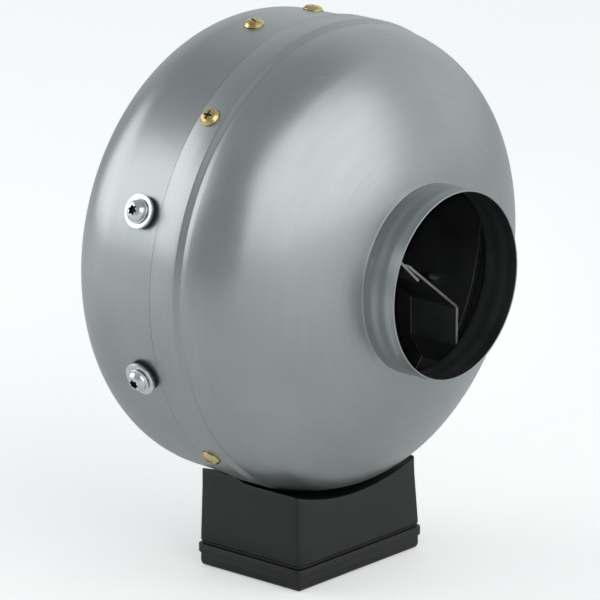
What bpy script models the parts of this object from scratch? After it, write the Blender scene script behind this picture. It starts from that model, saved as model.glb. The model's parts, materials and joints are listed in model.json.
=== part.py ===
"""Inline duct fan with a pressed steel casing, an external-rotor motor and a terminal box.

Metres, +Z up. The fan's axis runs along Y, with the outlet at -Y and the inlet at +Y.
The origin is under the middle of the casing, on the plane that the terminal box stands on.
Profiles of turned pieces are lists of (radius, place along the axis).
"""

from math import acos, asin, cos, degrees, pi, radians, sin, sqrt

import bmesh
import bpy
from mathutils import Matrix, Vector

# Fits
GAP = 0.0003            # between pieces that touch
SCREW_ROOM = 0.0004     # around a screw in its hole

# Casing, pressed steel sheet
SHEET = 0.0008
SPIGOT_RADIUS = 0.0492  # for a 100 mm duct
SPIGOT_SWELL = 0.0005
SPIGOT_RIPPLE = ((0.2, 1), (0.42, -0.4), (0.68, 1), (0.9, -0.4), (1.0, -0.4))  # (place, swell)
NECK_FILLET = 0.003
BAND_RADIUS = 0.1233    # outside of the band where the halves overlap
BAND_WIDTH = 0.0163
JOGGLE_LENGTH = 0.0023
JOGGLE_DEPTH = 0.0017
OUTLET_SHOULDER = 0.0387
OUTLET_SHOULDER_TURN = 48.2
OUTLET_CROWN = 0.125
OUTLET_DEPTH = 0.08125  # split plane to the outlet rim
INLET_WALL_TAPER = 0.0008
INLET_WALL_LENGTH = 0.047
INLET_SHOULDER = 0.040
INLET_SHOULDER_TURN = 47.0
INLET_CROWN = 0.095
INLET_DEPTH = 0.12205   # split plane to the inlet rim

# Inlet nozzle and impeller
NOZZLE_SHEET = 0.001
NOZZLE_THROAT_RADIUS = 0.0512
NOZZLE_FLANGE_RADIUS = 0.076
NOZZLE_BELL = 0.012
NOZZLE_TIP = 0.0755     # places along the axis are from the split plane, towards the inlet
EYE_CLEARANCE = 0.002
EYE_OVERLAP = 0.004
IMPELLER_RADIUS = 0.095
IMPELLER_PLATE = 0.0018
BLADE_COUNT = 7
BLADE_THICKNESS = 0.0015
BLADE_INNER_RADIUS = 0.058
BLADE_SWEEP = 46.0
BLADE_CURVE = 1.15      # above 1, a blade bends back more towards its tip
BLADE_STEPS = 5
BLADE_TIP_INSET = 0.001
BLADE_OUTLET_WIDTH = 0.032
SHROUD_RISE = 0.010
SHROUD_THICKNESS = 0.0015
COLLAR_LEAN = 0.0006    # how far the shroud's collar narrows towards its end
COLLAR_BEND = 0.0022

# Motor
CAN_RADIUS = 0.036
CAN_WALL = 0.0012
CAN_START = 0.027
CAN_LENGTH = 0.043
CAN_FLANGE_RADIUS = 0.042
CAN_FLANGE = 0.0014
CAN_BOSS_RADIUS = 0.009
CAN_BOSS_LENGTH = 0.005
CAN_CORNER = 0.003
CAGE_LENGTH = 0.026
AIR_GAP = 0.0005
CORE_RADIUS = 0.027
CORE_START = 0.033
CORE_LENGTH = 0.022
CORE_SLOTS = 12
CORE_SLOT_DEPTH = 0.0035
CORE_TOOTH_SHARE = 0.62
TUBE_RADIUS = 0.015
TUBE_LENGTH = 0.035     # from the open end of the can
WINDING_INSET = 0.0015
WINDING_ROUND_SHARE = 1 / 3  # of a winding's length, for its rounded ends
MOTOR_FLANGE_RADIUS = 0.034
MOTOR_FLANGE = 0.0067
BEARING_RADIUS = 0.011
BEARING_WIDTH = 0.007
BEARING_RING = 0.0024
BEARING_START = 0.003   # from the open end of the can
BEARING_INSET = 0.0015  # from the tube's far end
SHAFT_RADIUS = 0.004
SHAFT_CHAMFER = 0.0005
SHAFT_END = 0.0035      # shaft beyond the clip
CLIP_RADIUS = 0.0066    # the ring that keeps the shaft in its bearings
CLIP_THICKNESS = 0.001

# Motor support, folded sheet
PLATE_THICKNESS = 0.0016
PLATE_FACE = 0.018      # the face that carries the motor
PLATE_RADIUS = 0.044
SUPPORT_FRONT = -0.014  # front edge of the wings and legs
WING_THICKNESS = 0.0015
WING_START = (0.0330, 0.0054)
WING_END = (0.0511, 0.0221)
LEG_BEND_X = 0.083
LEG_BEND_Z = 0.0436
LEG_WALL_Z = 0.064
LEG_LAP = 0.0115        # length of leg that lies along its wing
FOOT_HALF_ANGLE = 5.5
FOOT_WIDTH = 0.0145

# Fasteners
BAND_SCREW_ANGLE = 46.5
BAND_SCREW_PLACE = 0.0093
SMALL_HEAD_RADIUS = 0.0053
SMALL_HEAD_HEIGHT = 0.0026
SMALL_SHANK_RADIUS = 0.0019
BAND_SHANK_LENGTH = 0.0075
TOP_SCREW_ANGLES = (77.6, 99.4)
TOP_SCREW_PLACE = 0.037
TOP_SHANK_LENGTH = 0.006
SIDE_SCREW_ANGLE = 20.6
SIDE_SCREW_PLACE = 0.0285
SIDE_HEAD_RADIUS = 0.0065
SIDE_HEAD_HEIGHT = 0.0042
SIDE_SHANK_RADIUS = 0.003
SIDE_SHANK_LENGTH = 0.012
WASHER_SIDES = 12
WASHER_RADIUS = 0.009
WASHER_THICKNESS = 0.0016
RUBBER_RADIUS = 0.0086
RUBBER_THICKNESS = 0.0016
MOTOR_SCREW_CIRCLE = 0.026
MOTOR_SCREW_COUNT = 3
MOTOR_SHANK_LENGTH = 0.007
PAN_HEAD_RADIUS = 0.0036
PAN_HEAD_HEIGHT = 0.0022
HEAD_FLAT = 0.62        # shares of the head's radius, height or recess
HEAD_EDGE = 0.35
RECESS_REACH = 0.45
RECESS_SLOT = 0.46
RECESS_DEPTH = 0.5
CROSS_VALLEY = 0.32
STAR_VALLEY = 0.72

# Terminal box, moulded plastic
BOX_WALL = 0.0025
BOX_HEIGHT = 0.0438     # top of the box under the fan's axis, above the plane that it stands on
BOX_BASE_HALF_X = 0.0482
BOX_DRAFT = 0.0014      # how far each side wall leans in towards the top
BOX_FRONT_TOP = -0.0164
BOX_FRONT_BASE = -0.0182
BOX_BACK = 0.051
BOX_CORNER = 0.003
SADDLE_EASE = 0.0094    # the saddle's radius is larger than the casing's by this
FRONT_SADDLE_EASE = 0.0268
FRONT_SADDLE_DROP = 0.0013
SADDLE_STEP_START = 0.0189
SADDLE_STEP_END = 0.0243
SADDLE_STEPS = 8
LID_HEIGHT = 0.0122
LID_FLOOR = 0.003
LID_WALL = 0.0025
LID_LIP = 0.0011
LID_LIP_HEIGHT = 0.0048
LID_BOTTOM_ROUND = 0.0025
LID_ROUND_MIDDLE = 0.3  # of the rounding, both across and down, at its middle
RIM_CORNER_LEAST = 0.001
GASKET_INSET = 0.0004
GASKET_WIDTH = 0.0016
GASKET_HEIGHT = 0.001
POST_RADIUS = 0.0042
POST_INSET = 0.0032     # from the inner walls to the screw posts' centers
POST_HEIGHT = 0.020
LID_SHANK_LENGTH = 0.012
LID_HEAD_RADIUS = 0.0032
LID_HEAD_HEIGHT = 0.0016
LID_SHANK_RADIUS = 0.0015
LID_HEAD_SINK = 0.0008  # head of a lid screw below the lid's underside
BOX_SCREW_X = 0.024
BOX_SCREW_PLACE = 0.038
BOX_SHANK_LENGTH = 0.0095
LEAD_RADIUS = 0.0025
LEAD_PLACE = 0.024
LEAD_START_PLACE = 0.0215
LEAD_DROP = 0.0025      # how far the lead hangs under the grommet
LEAD_STRAIGHT = 0.008   # from the motor to the first bend
LEAD_BEND_HEIGHT = 0.012  # last bend above the grommet
LEAD_STEPS = 6
GROMMET_BORE_ROOM = 0.0003
GROMMET_WALL = 0.003
GROMMET_LIP = 0.0022
GROMMET_LIP_HEIGHT = 0.0012
BLOCK_SIZE = (0.044, 0.030, 0.013)
BLOCK_POLES = 6
BLOCK_POLE_SHARE = 0.8
BLOCK_GROOVE = 0.002
CAPACITOR_RADIUS = 0.0105
CAPACITOR_LENGTH = 0.050
CAPACITOR_PLACE = 0.0005
CAPACITOR_EDGE = 0.0015
CLIP_BAND = 0.0012
CLIP_BAND_WIDTH = 0.012
GLAND_PLACE = 0.016
GLAND_HEIGHT = 0.031
GLAND_THREAD_RADIUS = 0.008
GLAND_HEX_RADIUS = 0.0105
GLAND_HEX_LENGTH = 0.005
GLAND_NOSE_LENGTH = 0.010
GLAND_INNER_LENGTH = 0.008
GLAND_BORE_RADIUS = 0.005
GLAND_NUT_LENGTH = 0.013
GLAND_SEAL_LENGTH = 0.007
GLAND_SEAL_RADIUS = 0.0067
GLAND_SEAL_BORE = 0.0038
NUT_RADIUS = 0.0102
NUT_SHOULDER = 0.004
NUT_TAPER = 0.0025

# Casing halves and everything turned at their scale have SHELL_SIDES sides
SHELL_SIDES = 36
WHEEL_SIDES = 28
MOTOR_SIDES = 20
SCREW_SIDES = 8
ARC_STEPS = 4           # straight steps in each large round stretch of a profile
FILLET_STEPS = 3
SMOOTH_ANGLE = 35.0

# The casing is centred on the origin along Y
SPLIT_Y = (OUTLET_DEPTH - INLET_DEPTH) / 2
OUTLET_WALL_RADIUS = BAND_RADIUS - JOGGLE_DEPTH
INLET_WALL_RADIUS = BAND_RADIUS - SHEET - GAP
AXIS_HEIGHT = BOX_HEIGHT + GAP + INLET_WALL_RADIUS
SADDLE_RADIUS = INLET_WALL_RADIUS + SADDLE_EASE
FRONT_SADDLE_RADIUS = INLET_WALL_RADIUS + FRONT_SADDLE_EASE
BOX_TOP_HALF_X = BOX_BASE_HALF_X - BOX_DRAFT

COLORS = {
    "casing": ((0.50, 0.53, 0.54), 0.32, 0.85),
    "galvanised": ((0.42, 0.44, 0.45), 0.45, 0.90),
    "zinc": ((0.72, 0.74, 0.76), 0.22, 1.0),
    "yellow_zinc": ((0.66, 0.52, 0.22), 0.28, 1.0),
    "plastic": ((0.018, 0.019, 0.019), 0.45, 0.0),
    "rubber": ((0.012, 0.012, 0.012), 0.80, 0.0),
    "impeller": ((0.10, 0.11, 0.12), 0.50, 0.0),
    "rotor_steel": ((0.05, 0.05, 0.055), 0.40, 0.60),
    "aluminium": ((0.60, 0.61, 0.62), 0.40, 1.0),
    "lamination": ((0.25, 0.24, 0.23), 0.50, 0.90),
    "copper": ((0.62, 0.26, 0.12), 0.35, 1.0),
    "bearing_steel": ((0.65, 0.66, 0.68), 0.18, 1.0),
    "terminal": ((0.55, 0.56, 0.55), 0.50, 0.0),
    "capacitor": ((0.62, 0.63, 0.62), 0.45, 0.0),
    "cable": ((0.02, 0.02, 0.02), 0.55, 0.0),
}


# ---------------------------------------------------------------- tools

def clear_scene():
    for old in list(bpy.data.objects):
        bpy.data.objects.remove(old, do_unlink=True)


def material_for(name, finish):
    """Each piece has a material of its own, with the colours of its finish."""
    color, roughness, metallic = COLORS[finish]
    material = bpy.data.materials.new(name)
    material.use_nodes = True
    shader = material.node_tree.nodes["Principled BSDF"]
    shader.inputs["Base Color"].default_value = (*color, 1.0)
    shader.inputs["Roughness"].default_value = roughness
    shader.inputs["Metallic"].default_value = metallic
    material.diffuse_color = (*color, 1.0)
    return material


def add_object(name, mesh, finish, parent=None):
    piece = bpy.data.objects.new(name, mesh)
    bpy.context.collection.objects.link(piece)
    piece.parent = parent
    mesh.materials.append(material_for(name, finish))
    smooth(mesh)
    return piece


def smooth(mesh):
    mesh.shade_smooth()
    mesh.set_sharp_from_angle(angle=radians(SMOOTH_ANGLE))


def add_empty(name, place):
    empty = bpy.data.objects.new(name, None)
    bpy.context.collection.objects.link(empty)
    empty.location = place
    empty.rotation_euler = (-pi / 2, 0, 0)
    return empty


def to_mesh(bm, name):
    bmesh.ops.remove_doubles(bm, verts=bm.verts, dist=1e-6)
    bmesh.ops.recalc_face_normals(bm, faces=bm.faces)
    mesh = bpy.data.meshes.new(name)
    bm.to_mesh(mesh)
    bm.free()
    return mesh


def turned(name, profile, sides):
    """A closed profile of (radius, height) turned round local Z."""
    bm = bmesh.new()
    verts = [bm.verts.new((radius, 0, height)) for radius, height in profile]
    edges = [bm.edges.new((a, b)) for a, b in zip(verts, verts[1:] + verts[:1])
             if a.co.x > 0 or b.co.x > 0]
    bmesh.ops.spin(bm, geom=verts + edges, cent=(0, 0, 0), axis=(0, 0, 1),
                   angle=2 * pi, steps=sides, use_merge=True)
    return to_mesh(bm, name)


def prism(name, outline, start, end, holes=()):
    """An (x, y) outline, with holes as further outlines, pushed from start to end along local Z."""
    bm = bmesh.new()
    edges = []
    for loop in (outline, *holes):
        verts = [bm.verts.new((x, y, start)) for x, y in loop]
        edges += [bm.edges.new(pair) for pair in zip(verts, verts[1:] + verts[:1])]
    bmesh.ops.triangle_fill(bm, use_beauty=True, use_dissolve=False, edges=edges)
    pushed = bmesh.ops.extrude_face_region(bm, geom=bm.faces[:])
    moved = [item for item in pushed["geom"] if isinstance(item, bmesh.types.BMVert)]
    bmesh.ops.translate(bm, verts=moved, vec=(0, 0, end - start))
    return to_mesh(bm, name)


def lofted(name, rings):
    """Rings of as many points each, joined in order and closed at both ends."""
    bm = bmesh.new()
    loops = [[bm.verts.new(point) for point in ring] for ring in rings]
    count = len(loops[0])
    for loop, following in zip(loops, loops[1:]):
        for a in range(count):
            b = (a + 1) % count
            bm.faces.new((loop[a], loop[b], following[b], following[a]))
    bm.faces.new(loops[0])
    bm.faces.new(loops[-1])
    return to_mesh(bm, name)


def circle(radius, sides, center=(0, 0), turn=0.0):
    return [(center[0] + radius * cos(turn + 2 * pi * k / sides),
             center[1] + radius * sin(turn + 2 * pi * k / sides)) for k in range(sides)]


def arc(center, radius, start, end, steps):
    """Points on a round stretch; the angles are in degrees from the radial direction."""
    turns = [radians(start + (end - start) * k / steps) for k in range(steps + 1)]
    return [(center[0] + radius * cos(t), center[1] + radius * sin(t)) for t in turns]


def offset_line(points, distance):
    """The same open line moved to its left by distance, with mitred corners."""
    moved = []
    for k, point in enumerate(points):
        before = points[max(k - 1, 0)]
        after = points[min(k + 1, len(points) - 1)]
        into = Vector((point[0] - before[0], point[1] - before[1]))
        out = Vector((after[0] - point[0], after[1] - point[1]))
        into = into.normalized() if into.length else out.normalized()
        out = out.normalized() if out.length else into
        bisector = (into + out).normalized()
        stretch = distance / bisector.dot(into)
        moved.append((point[0] - bisector.y * stretch, point[1] + bisector.x * stretch))
    return moved


def sheet_profile(points, thickness):
    """A closed profile for sheet that follows an outer line, with its thickness on the left."""
    return points + offset_line(points, thickness)[::-1]


def cut(piece, *cutters, operation="DIFFERENCE"):
    """Boolean the cutters with the piece, keep the result as its mesh and remove the cutters."""
    for cutter in cutters:
        step = piece.modifiers.new(operation.title(), "BOOLEAN")
        step.operation = operation
        step.solver = "EXACT"
        step.object = cutter
    bpy.context.view_layer.update()
    graph = bpy.context.evaluated_depsgraph_get()
    result = bpy.data.meshes.new_from_object(piece.evaluated_get(graph))
    piece.modifiers.clear()
    piece.data = result
    smooth(result)
    for cutter in cutters:
        bpy.data.objects.remove(cutter, do_unlink=True)


def tool(mesh, matrix=None, parent=None):
    """A cutter or an addition that cut() uses up."""
    cutter = bpy.data.objects.new(mesh.name, mesh)
    bpy.context.collection.objects.link(cutter)
    cutter.hide_render = True
    cutter.display_type = "WIRE"
    cutter.parent = parent
    if matrix is not None:
        cutter.matrix_world = matrix
    return cutter


def pin(radius, start, end, sides=SCREW_SIDES):
    return prism("pin", circle(radius, sides), start, end)


def axial(place):
    """World Y of a place given from the split plane towards the inlet."""
    return SPLIT_Y + place


def radial_frame(angle, distance, place):
    """A frame at an angle round the fan's axis, with its Z pointing away from the axis."""
    away = Vector((cos(radians(angle)), 0, sin(radians(angle))))
    along = Vector((0, 1, 0))
    side = along.cross(away)
    point = Vector((0, axial(place), AXIS_HEIGHT)) + away * distance
    frame = Matrix((side, along, away)).transposed().to_4x4()
    return Matrix.Translation(point) @ frame


def axis_frame(x, z, place):
    """A frame beside the fan's axis, with its Z towards the outlet."""
    point = Matrix.Translation((x, axial(place), AXIS_HEIGHT + z))
    return point @ Matrix.Rotation(pi / 2, 4, "X")


# ---------------------------------------------------------------- casing

def crown_center(wall_end, shoulder, shoulder_turn, crown):
    """Center of the crown's arc, which runs on smoothly from the shoulder's arc."""
    turn = radians(shoulder_turn)
    reach = shoulder - crown
    return (wall_end[0] - shoulder + reach * cos(turn), wall_end[1] + reach * sin(turn))


def neck_turn(center, crown):
    """Angle on the crown, in degrees, where the neck's fillet takes over."""
    return degrees(acos((SPIGOT_RADIUS + NECK_FILLET - center[0]) / (crown + NECK_FILLET)))


def half_shell_line(wall, shoulder, shoulder_turn, crown, depth):
    """Outer line of one casing half, from its wall to its rim, as (radius, distance from the split)."""
    wall_radius, wall_place = wall[-1]
    line = wall[:-1] + arc((wall_radius - shoulder, wall_place), shoulder, 0, shoulder_turn, ARC_STEPS)
    center = crown_center(wall[-1], shoulder, shoulder_turn, crown)
    neck = neck_turn(center, crown)
    line += arc(center, crown, shoulder_turn, neck, ARC_STEPS)[1:]
    fillet = arc(center, crown + NECK_FILLET, neck, neck, 1)[0]
    line += arc(fillet, NECK_FILLET, 180 + neck, 180, FILLET_STEPS)[1:]
    start = fillet[1]
    length = depth - start
    line += [(SPIGOT_RADIUS + SPIGOT_SWELL * lift, start + length * share)
             for share, lift in SPIGOT_RIPPLE]
    return line


def outlet_line():
    wall = [(BAND_RADIUS, -BAND_WIDTH), (BAND_RADIUS, -JOGGLE_LENGTH / 4),
            (OUTLET_WALL_RADIUS, JOGGLE_LENGTH)]
    return half_shell_line(wall, OUTLET_SHOULDER, OUTLET_SHOULDER_TURN, OUTLET_CROWN, OUTLET_DEPTH)


def inlet_wall_end():
    """Outer line's last point on the inlet half's tapered wall, before its shoulder."""
    return (INLET_WALL_RADIUS - INLET_WALL_TAPER, INLET_WALL_LENGTH)


def inlet_line():
    edge = JOGGLE_LENGTH + GAP
    wall = [(INLET_WALL_RADIUS, edge), (INLET_WALL_RADIUS, BAND_WIDTH), inlet_wall_end()]
    return half_shell_line(wall, INLET_SHOULDER, INLET_SHOULDER_TURN, INLET_CROWN, INLET_DEPTH)


def wall_radius_at(place):
    """Outer radius of the inlet half's tapered wall."""
    share = (place - BAND_WIDTH) / (INLET_WALL_LENGTH - BAND_WIDTH)
    return INLET_WALL_RADIUS - INLET_WALL_TAPER * max(share, 0)


def wall_holes(places, sides=SCREW_SIDES):
    """Cutters for holes in the wall: each place is (angle, place along the axis, hole radius)."""
    inner = BAND_RADIUS - WASHER_RADIUS
    outer = BAND_RADIUS + WASHER_RADIUS
    return [tool(pin(radius, inner, outer, sides), radial_frame(angle, 0, place))
            for angle, place, radius in places]


def band_angles():
    return [BAND_SCREW_ANGLE, 180 - BAND_SCREW_ANGLE, 180 + BAND_SCREW_ANGLE, -BAND_SCREW_ANGLE]


def side_angles():
    return [180 - SIDE_SCREW_ANGLE, 180 + SIDE_SCREW_ANGLE, SIDE_SCREW_ANGLE, -SIDE_SCREW_ANGLE]


def grommet_neck_radius():
    return LEAD_RADIUS + GROMMET_BORE_ROOM + GROMMET_WALL


def build_casing(axis):
    band_hole = SMALL_SHANK_RADIUS + SCREW_ROOM
    band_holes = [(angle, BAND_SCREW_PLACE, band_hole) for angle in band_angles()]

    outlet = [(radius, -along) for radius, along in outlet_line()]
    profile = outlet + [(r, z) for r, z in offset_line(outlet, -SHEET)[::-1]]
    piece = add_object("outlet_shell", turned("outlet_shell", profile, SHELL_SIDES), "casing", axis)
    cut(piece, *wall_holes(band_holes))

    profile = sheet_profile(inlet_line(), SHEET)
    piece = add_object("inlet_shell", turned("inlet_shell", profile, SHELL_SIDES), "casing", axis)
    holes = band_holes + [(angle, TOP_SCREW_PLACE, band_hole) for angle in TOP_SCREW_ANGLES]
    side_hole = SIDE_SHANK_RADIUS + SCREW_ROOM
    holes += [(angle, SIDE_SCREW_PLACE, side_hole) for angle in side_angles()]
    cutters = wall_holes(holes)
    cutters += wall_holes([(-90, LEAD_PLACE, grommet_neck_radius() + GAP)], MOTOR_SIDES)
    for x in (-BOX_SCREW_X, BOX_SCREW_X):
        place = Matrix.Translation((x, axial(BOX_SCREW_PLACE), 0))
        cutters.append(tool(pin(band_hole, 0, AXIS_HEIGHT), place))
    cut(piece, *cutters)


def build_nozzle(axis):
    """A bellmouth whose flange lies against the inside of the inlet half's crown."""
    center = crown_center(inlet_wall_end(), INLET_SHOULDER, INLET_SHOULDER_TURN, INLET_CROWN)
    half_step = (neck_turn(center, INLET_CROWN) - INLET_SHOULDER_TURN) / ARC_STEPS / 2
    face = INLET_CROWN * cos(radians(half_step)) - SHEET - GAP
    flange_turn = degrees(acos((NOZZLE_FLANGE_RADIUS - center[0]) / face))
    bell_reach = face - NOZZLE_BELL
    bell_turn = degrees(acos((NOZZLE_THROAT_RADIUS + NOZZLE_BELL - center[0]) / bell_reach))
    bell = arc(center, bell_reach, bell_turn, bell_turn, 1)[0]
    line = arc(center, face, flange_turn, bell_turn, 2)
    line += arc(bell, NOZZLE_BELL, bell_turn, 180, ARC_STEPS)[1:]
    line.append((NOZZLE_THROAT_RADIUS, NOZZLE_TIP))
    profile = sheet_profile(line, NOZZLE_SHEET)
    add_object("inlet_nozzle", turned("inlet_nozzle", profile, SHELL_SIDES), "galvanised", axis)


# ---------------------------------------------------------------- motor support

def folded_strip(name, stations, thickness):
    """Sheet bent along a line; a station is (x, z, from, to) with its two places along the axis."""
    line = [(x, z) for x, z, _, _ in stations]
    sides = (offset_line(line, thickness / 2), offset_line(line, -thickness / 2))
    rings = []
    for k, (_, _, start, end) in enumerate(stations):
        corners = ((0, start), (1, start), (1, end), (0, end))
        rings.append([(sides[side][k][0], axial(along), AXIS_HEIGHT + sides[side][k][1])
                      for side, along in corners])
    return lofted(name, rings)


def wing_line(side, up):
    return [(side * WING_START[0], up * WING_START[1]), (side * WING_END[0], up * WING_END[1])]


def leg_stations(side, up):
    """A leg lies on its wing, folds towards the band screw and ends in a foot along the wall."""
    start, end = Vector(WING_START), Vector(WING_END)
    along = (end - start).normalized()
    away = Vector((along.y, -along.x))
    lap = end - along * LEG_LAP + away * (WING_THICKNESS + GAP)
    foot_radius = (INLET_WALL_RADIUS - SHEET) * cos(pi / SHELL_SIDES) - GAP - WING_THICKNESS / 2
    front, rear = SUPPORT_FRONT, PLATE_FACE
    foot_front = BAND_SCREW_PLACE - FOOT_WIDTH / 2 + GAP
    foot_rear = BAND_SCREW_PLACE + FOOT_WIDTH / 2
    stations = [(lap.x, lap.y, front, rear), (LEG_BEND_X, LEG_BEND_Z, front, rear),
                (LEG_BEND_X, LEG_WALL_Z, front, rear)]
    for share in (-1, -1 / 3, 1 / 3, 1):
        turn = radians(BAND_SCREW_ANGLE + share * FOOT_HALF_ANGLE)
        stations.append((foot_radius * cos(turn), foot_radius * sin(turn), foot_front, foot_rear))
    return [(side * x, up * z, a, b) for x, z, a, b in stations]


def quadrants():
    return [(1, 1), (-1, 1), (-1, -1), (1, -1)]


def motor_screw_spots():
    spots = []
    for k in range(MOTOR_SCREW_COUNT):
        turn = pi / 2 + 2 * pi * k / MOTOR_SCREW_COUNT
        spots.append((MOTOR_SCREW_CIRCLE * cos(turn), MOTOR_SCREW_CIRCLE * sin(turn)))
    return spots


def build_support(axis):
    hole = circle(TUBE_RADIUS, MOTOR_SIDES)
    screw_room = SMALL_SHANK_RADIUS + SCREW_ROOM
    holes = [hole] + [circle(screw_room, SCREW_SIDES, (x, -z)) for x, z in motor_screw_spots()]
    rim = circle(PLATE_RADIUS, WHEEL_SIDES)
    mesh = prism("motor_plate", rim, PLATE_FACE - PLATE_THICKNESS, PLATE_FACE, holes)
    plate = add_object("motor_plate", mesh, "galvanised", axis)
    wings = []
    for side, up in quadrants():
        stations = [(x, z, SUPPORT_FRONT, PLATE_FACE - PLATE_THICKNESS / 2)
                    for x, z in wing_line(side, up)]
        wings.append(tool(folded_strip("wing", stations, WING_THICKNESS)))
    cut(plate, *wings, operation="UNION")

    foot_hole = SMALL_SHANK_RADIUS + SCREW_ROOM
    for number, ((side, up), angle) in enumerate(zip(quadrants(), band_angles()), 1):
        name = f"bracket_leg_{number}"
        leg = add_object(name, folded_strip(name, leg_stations(side, up), WING_THICKNESS), "galvanised")
        cut(leg, *wall_holes([(angle, BAND_SCREW_PLACE, foot_hole)]))


# ---------------------------------------------------------------- motor, fixed half

def build_stator(axis):
    bore = BEARING_RADIUS + GAP
    tube_end = CAN_START + TUBE_LENGTH
    flange_start = PLATE_FACE + GAP
    flange_end = flange_start + MOTOR_FLANGE
    profile = [(bore, flange_start), (MOTOR_FLANGE_RADIUS, flange_start), (MOTOR_FLANGE_RADIUS, flange_end),
               (TUBE_RADIUS, flange_end), (TUBE_RADIUS, tube_end), (bore, tube_end)]
    flange = add_object("stator_flange", turned("stator_flange", profile, MOTOR_SIDES), "aluminium", axis)
    threads = [tool(pin(SMALL_SHANK_RADIUS + GAP, 0, MOTOR_SHANK_LENGTH),
                    axis_frame(x, z, flange_start + MOTOR_SHANK_LENGTH - GAP))
               for x, z in motor_screw_spots()]
    cut(flange, *threads)

    core_bore = TUBE_RADIUS + GAP
    steps = []
    for k in range(CORE_SLOTS):
        floor = CORE_RADIUS - CORE_SLOT_DEPTH
        for share, radius in ((0, CORE_RADIUS), (CORE_TOOTH_SHARE, CORE_RADIUS),
                              (CORE_TOOTH_SHARE, floor), (1, floor)):
            turn = 2 * pi * (k + share) / CORE_SLOTS
            steps.append((radius * cos(turn), radius * sin(turn)))
    holes = [circle(core_bore, MOTOR_SIDES)]
    mesh = prism("stator_core", steps, CORE_START, CORE_START + CORE_LENGTH, holes)
    add_object("stator_core", mesh, "lamination", axis)

    inner, outer = core_bore + WINDING_INSET, CORE_RADIUS - CORE_SLOT_DEPTH
    ends = (("winding_outlet_end", flange_end + 2 * GAP, CORE_START - GAP),
            ("winding_inlet_end", CORE_START + CORE_LENGTH + GAP, tube_end - GAP))
    for name, start, end in ends:
        round_off = (end - start) * WINDING_ROUND_SHARE
        profile = [(inner, start + round_off), (inner + round_off, start), (outer - round_off, start),
                   (outer, start + round_off), (outer, end - round_off), (outer - round_off, end),
                   (inner + round_off, end), (inner, end - round_off)]
        add_object(name, turned(name, profile, MOTOR_SIDES), "copper", axis)


def bearing_places():
    first = CAN_START + BEARING_START
    last = CAN_START + TUBE_LENGTH - BEARING_INSET - BEARING_WIDTH
    return (first, last)


def build_bearings(axis, rotor):
    for number, start in enumerate(bearing_places(), 1):
        end = start + BEARING_WIDTH
        outer = [(BEARING_RADIUS - BEARING_RING, start), (BEARING_RADIUS, start),
                 (BEARING_RADIUS, end), (BEARING_RADIUS - BEARING_RING, end)]
        name = f"bearing_outer_{number}"
        add_object(name, turned(name, outer, MOTOR_SIDES), "bearing_steel", axis)
        bore = SHAFT_RADIUS + GAP
        inner = [(bore, start), (bore + BEARING_RING, start), (bore + BEARING_RING, end), (bore, end)]
        name = f"bearing_inner_{number}"
        add_object(name, turned(name, inner, MOTOR_SIDES), "bearing_steel", rotor)


# ---------------------------------------------------------------- rotor and impeller

def build_rotor(rotor):
    """The can is open towards the outlet and carries the impeller on its flange."""
    end = CAN_START + CAN_LENGTH
    inside = CAN_RADIUS - CAN_WALL
    bore = SHAFT_RADIUS + GAP
    corner = CAN_CORNER
    profile = [(bore, end), (CAN_RADIUS - corner, end), (CAN_RADIUS, end - corner),
               (CAN_RADIUS, CAN_START + CAN_FLANGE), (CAN_FLANGE_RADIUS, CAN_START + CAN_FLANGE),
               (CAN_FLANGE_RADIUS, CAN_START), (inside, CAN_START), (inside, end - corner),
               (inside - corner + CAN_WALL, end - CAN_WALL), (CAN_BOSS_RADIUS, end - CAN_WALL),
               (CAN_BOSS_RADIUS, end - CAN_BOSS_LENGTH), (bore, end - CAN_BOSS_LENGTH)]
    add_object("rotor_can", turned("rotor_can", profile, WHEEL_SIDES), "rotor_steel", rotor)

    core_middle = CORE_START + CORE_LENGTH / 2
    outer = inside * cos(pi / WHEEL_SIDES) - GAP
    inner = (CORE_RADIUS + AIR_GAP) / cos(pi / WHEEL_SIDES)
    profile = [(inner, core_middle - CAGE_LENGTH / 2), (outer, core_middle - CAGE_LENGTH / 2),
               (outer, core_middle + CAGE_LENGTH / 2), (inner, core_middle + CAGE_LENGTH / 2)]
    add_object("rotor_cage", turned("rotor_cage", profile, WHEEL_SIDES), "aluminium", rotor)

    first_bearing = bearing_places()[0]
    start = first_bearing - CLIP_THICKNESS - SHAFT_END
    edge = SHAFT_CHAMFER
    profile = [(0, start), (SHAFT_RADIUS - edge, start), (SHAFT_RADIUS, start + edge),
               (SHAFT_RADIUS, end - edge), (SHAFT_RADIUS - edge, end), (0, end)]
    add_object("rotor_shaft", turned("rotor_shaft", profile, MOTOR_SIDES), "bearing_steel", rotor)

    clip_end = first_bearing - GAP
    clip_start = clip_end - CLIP_THICKNESS
    bore = SHAFT_RADIUS + GAP
    profile = [(bore, clip_start), (CLIP_RADIUS, clip_start), (CLIP_RADIUS, clip_end), (bore, clip_end)]
    add_object("shaft_clip", turned("shaft_clip", profile, MOTOR_SIDES), "zinc", rotor)


def impeller_plate_start():
    return CAN_START + CAN_FLANGE + GAP


def shroud_height(radius):
    """Underside of the shroud: it rises in a straight cone from the rim to the blades' inner edge."""
    rim = impeller_plate_start() + IMPELLER_PLATE + BLADE_OUTLET_WIDTH
    share = (IMPELLER_RADIUS - radius) / (IMPELLER_RADIUS - BLADE_INNER_RADIUS)
    return rim + SHROUD_RISE * share


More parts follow.
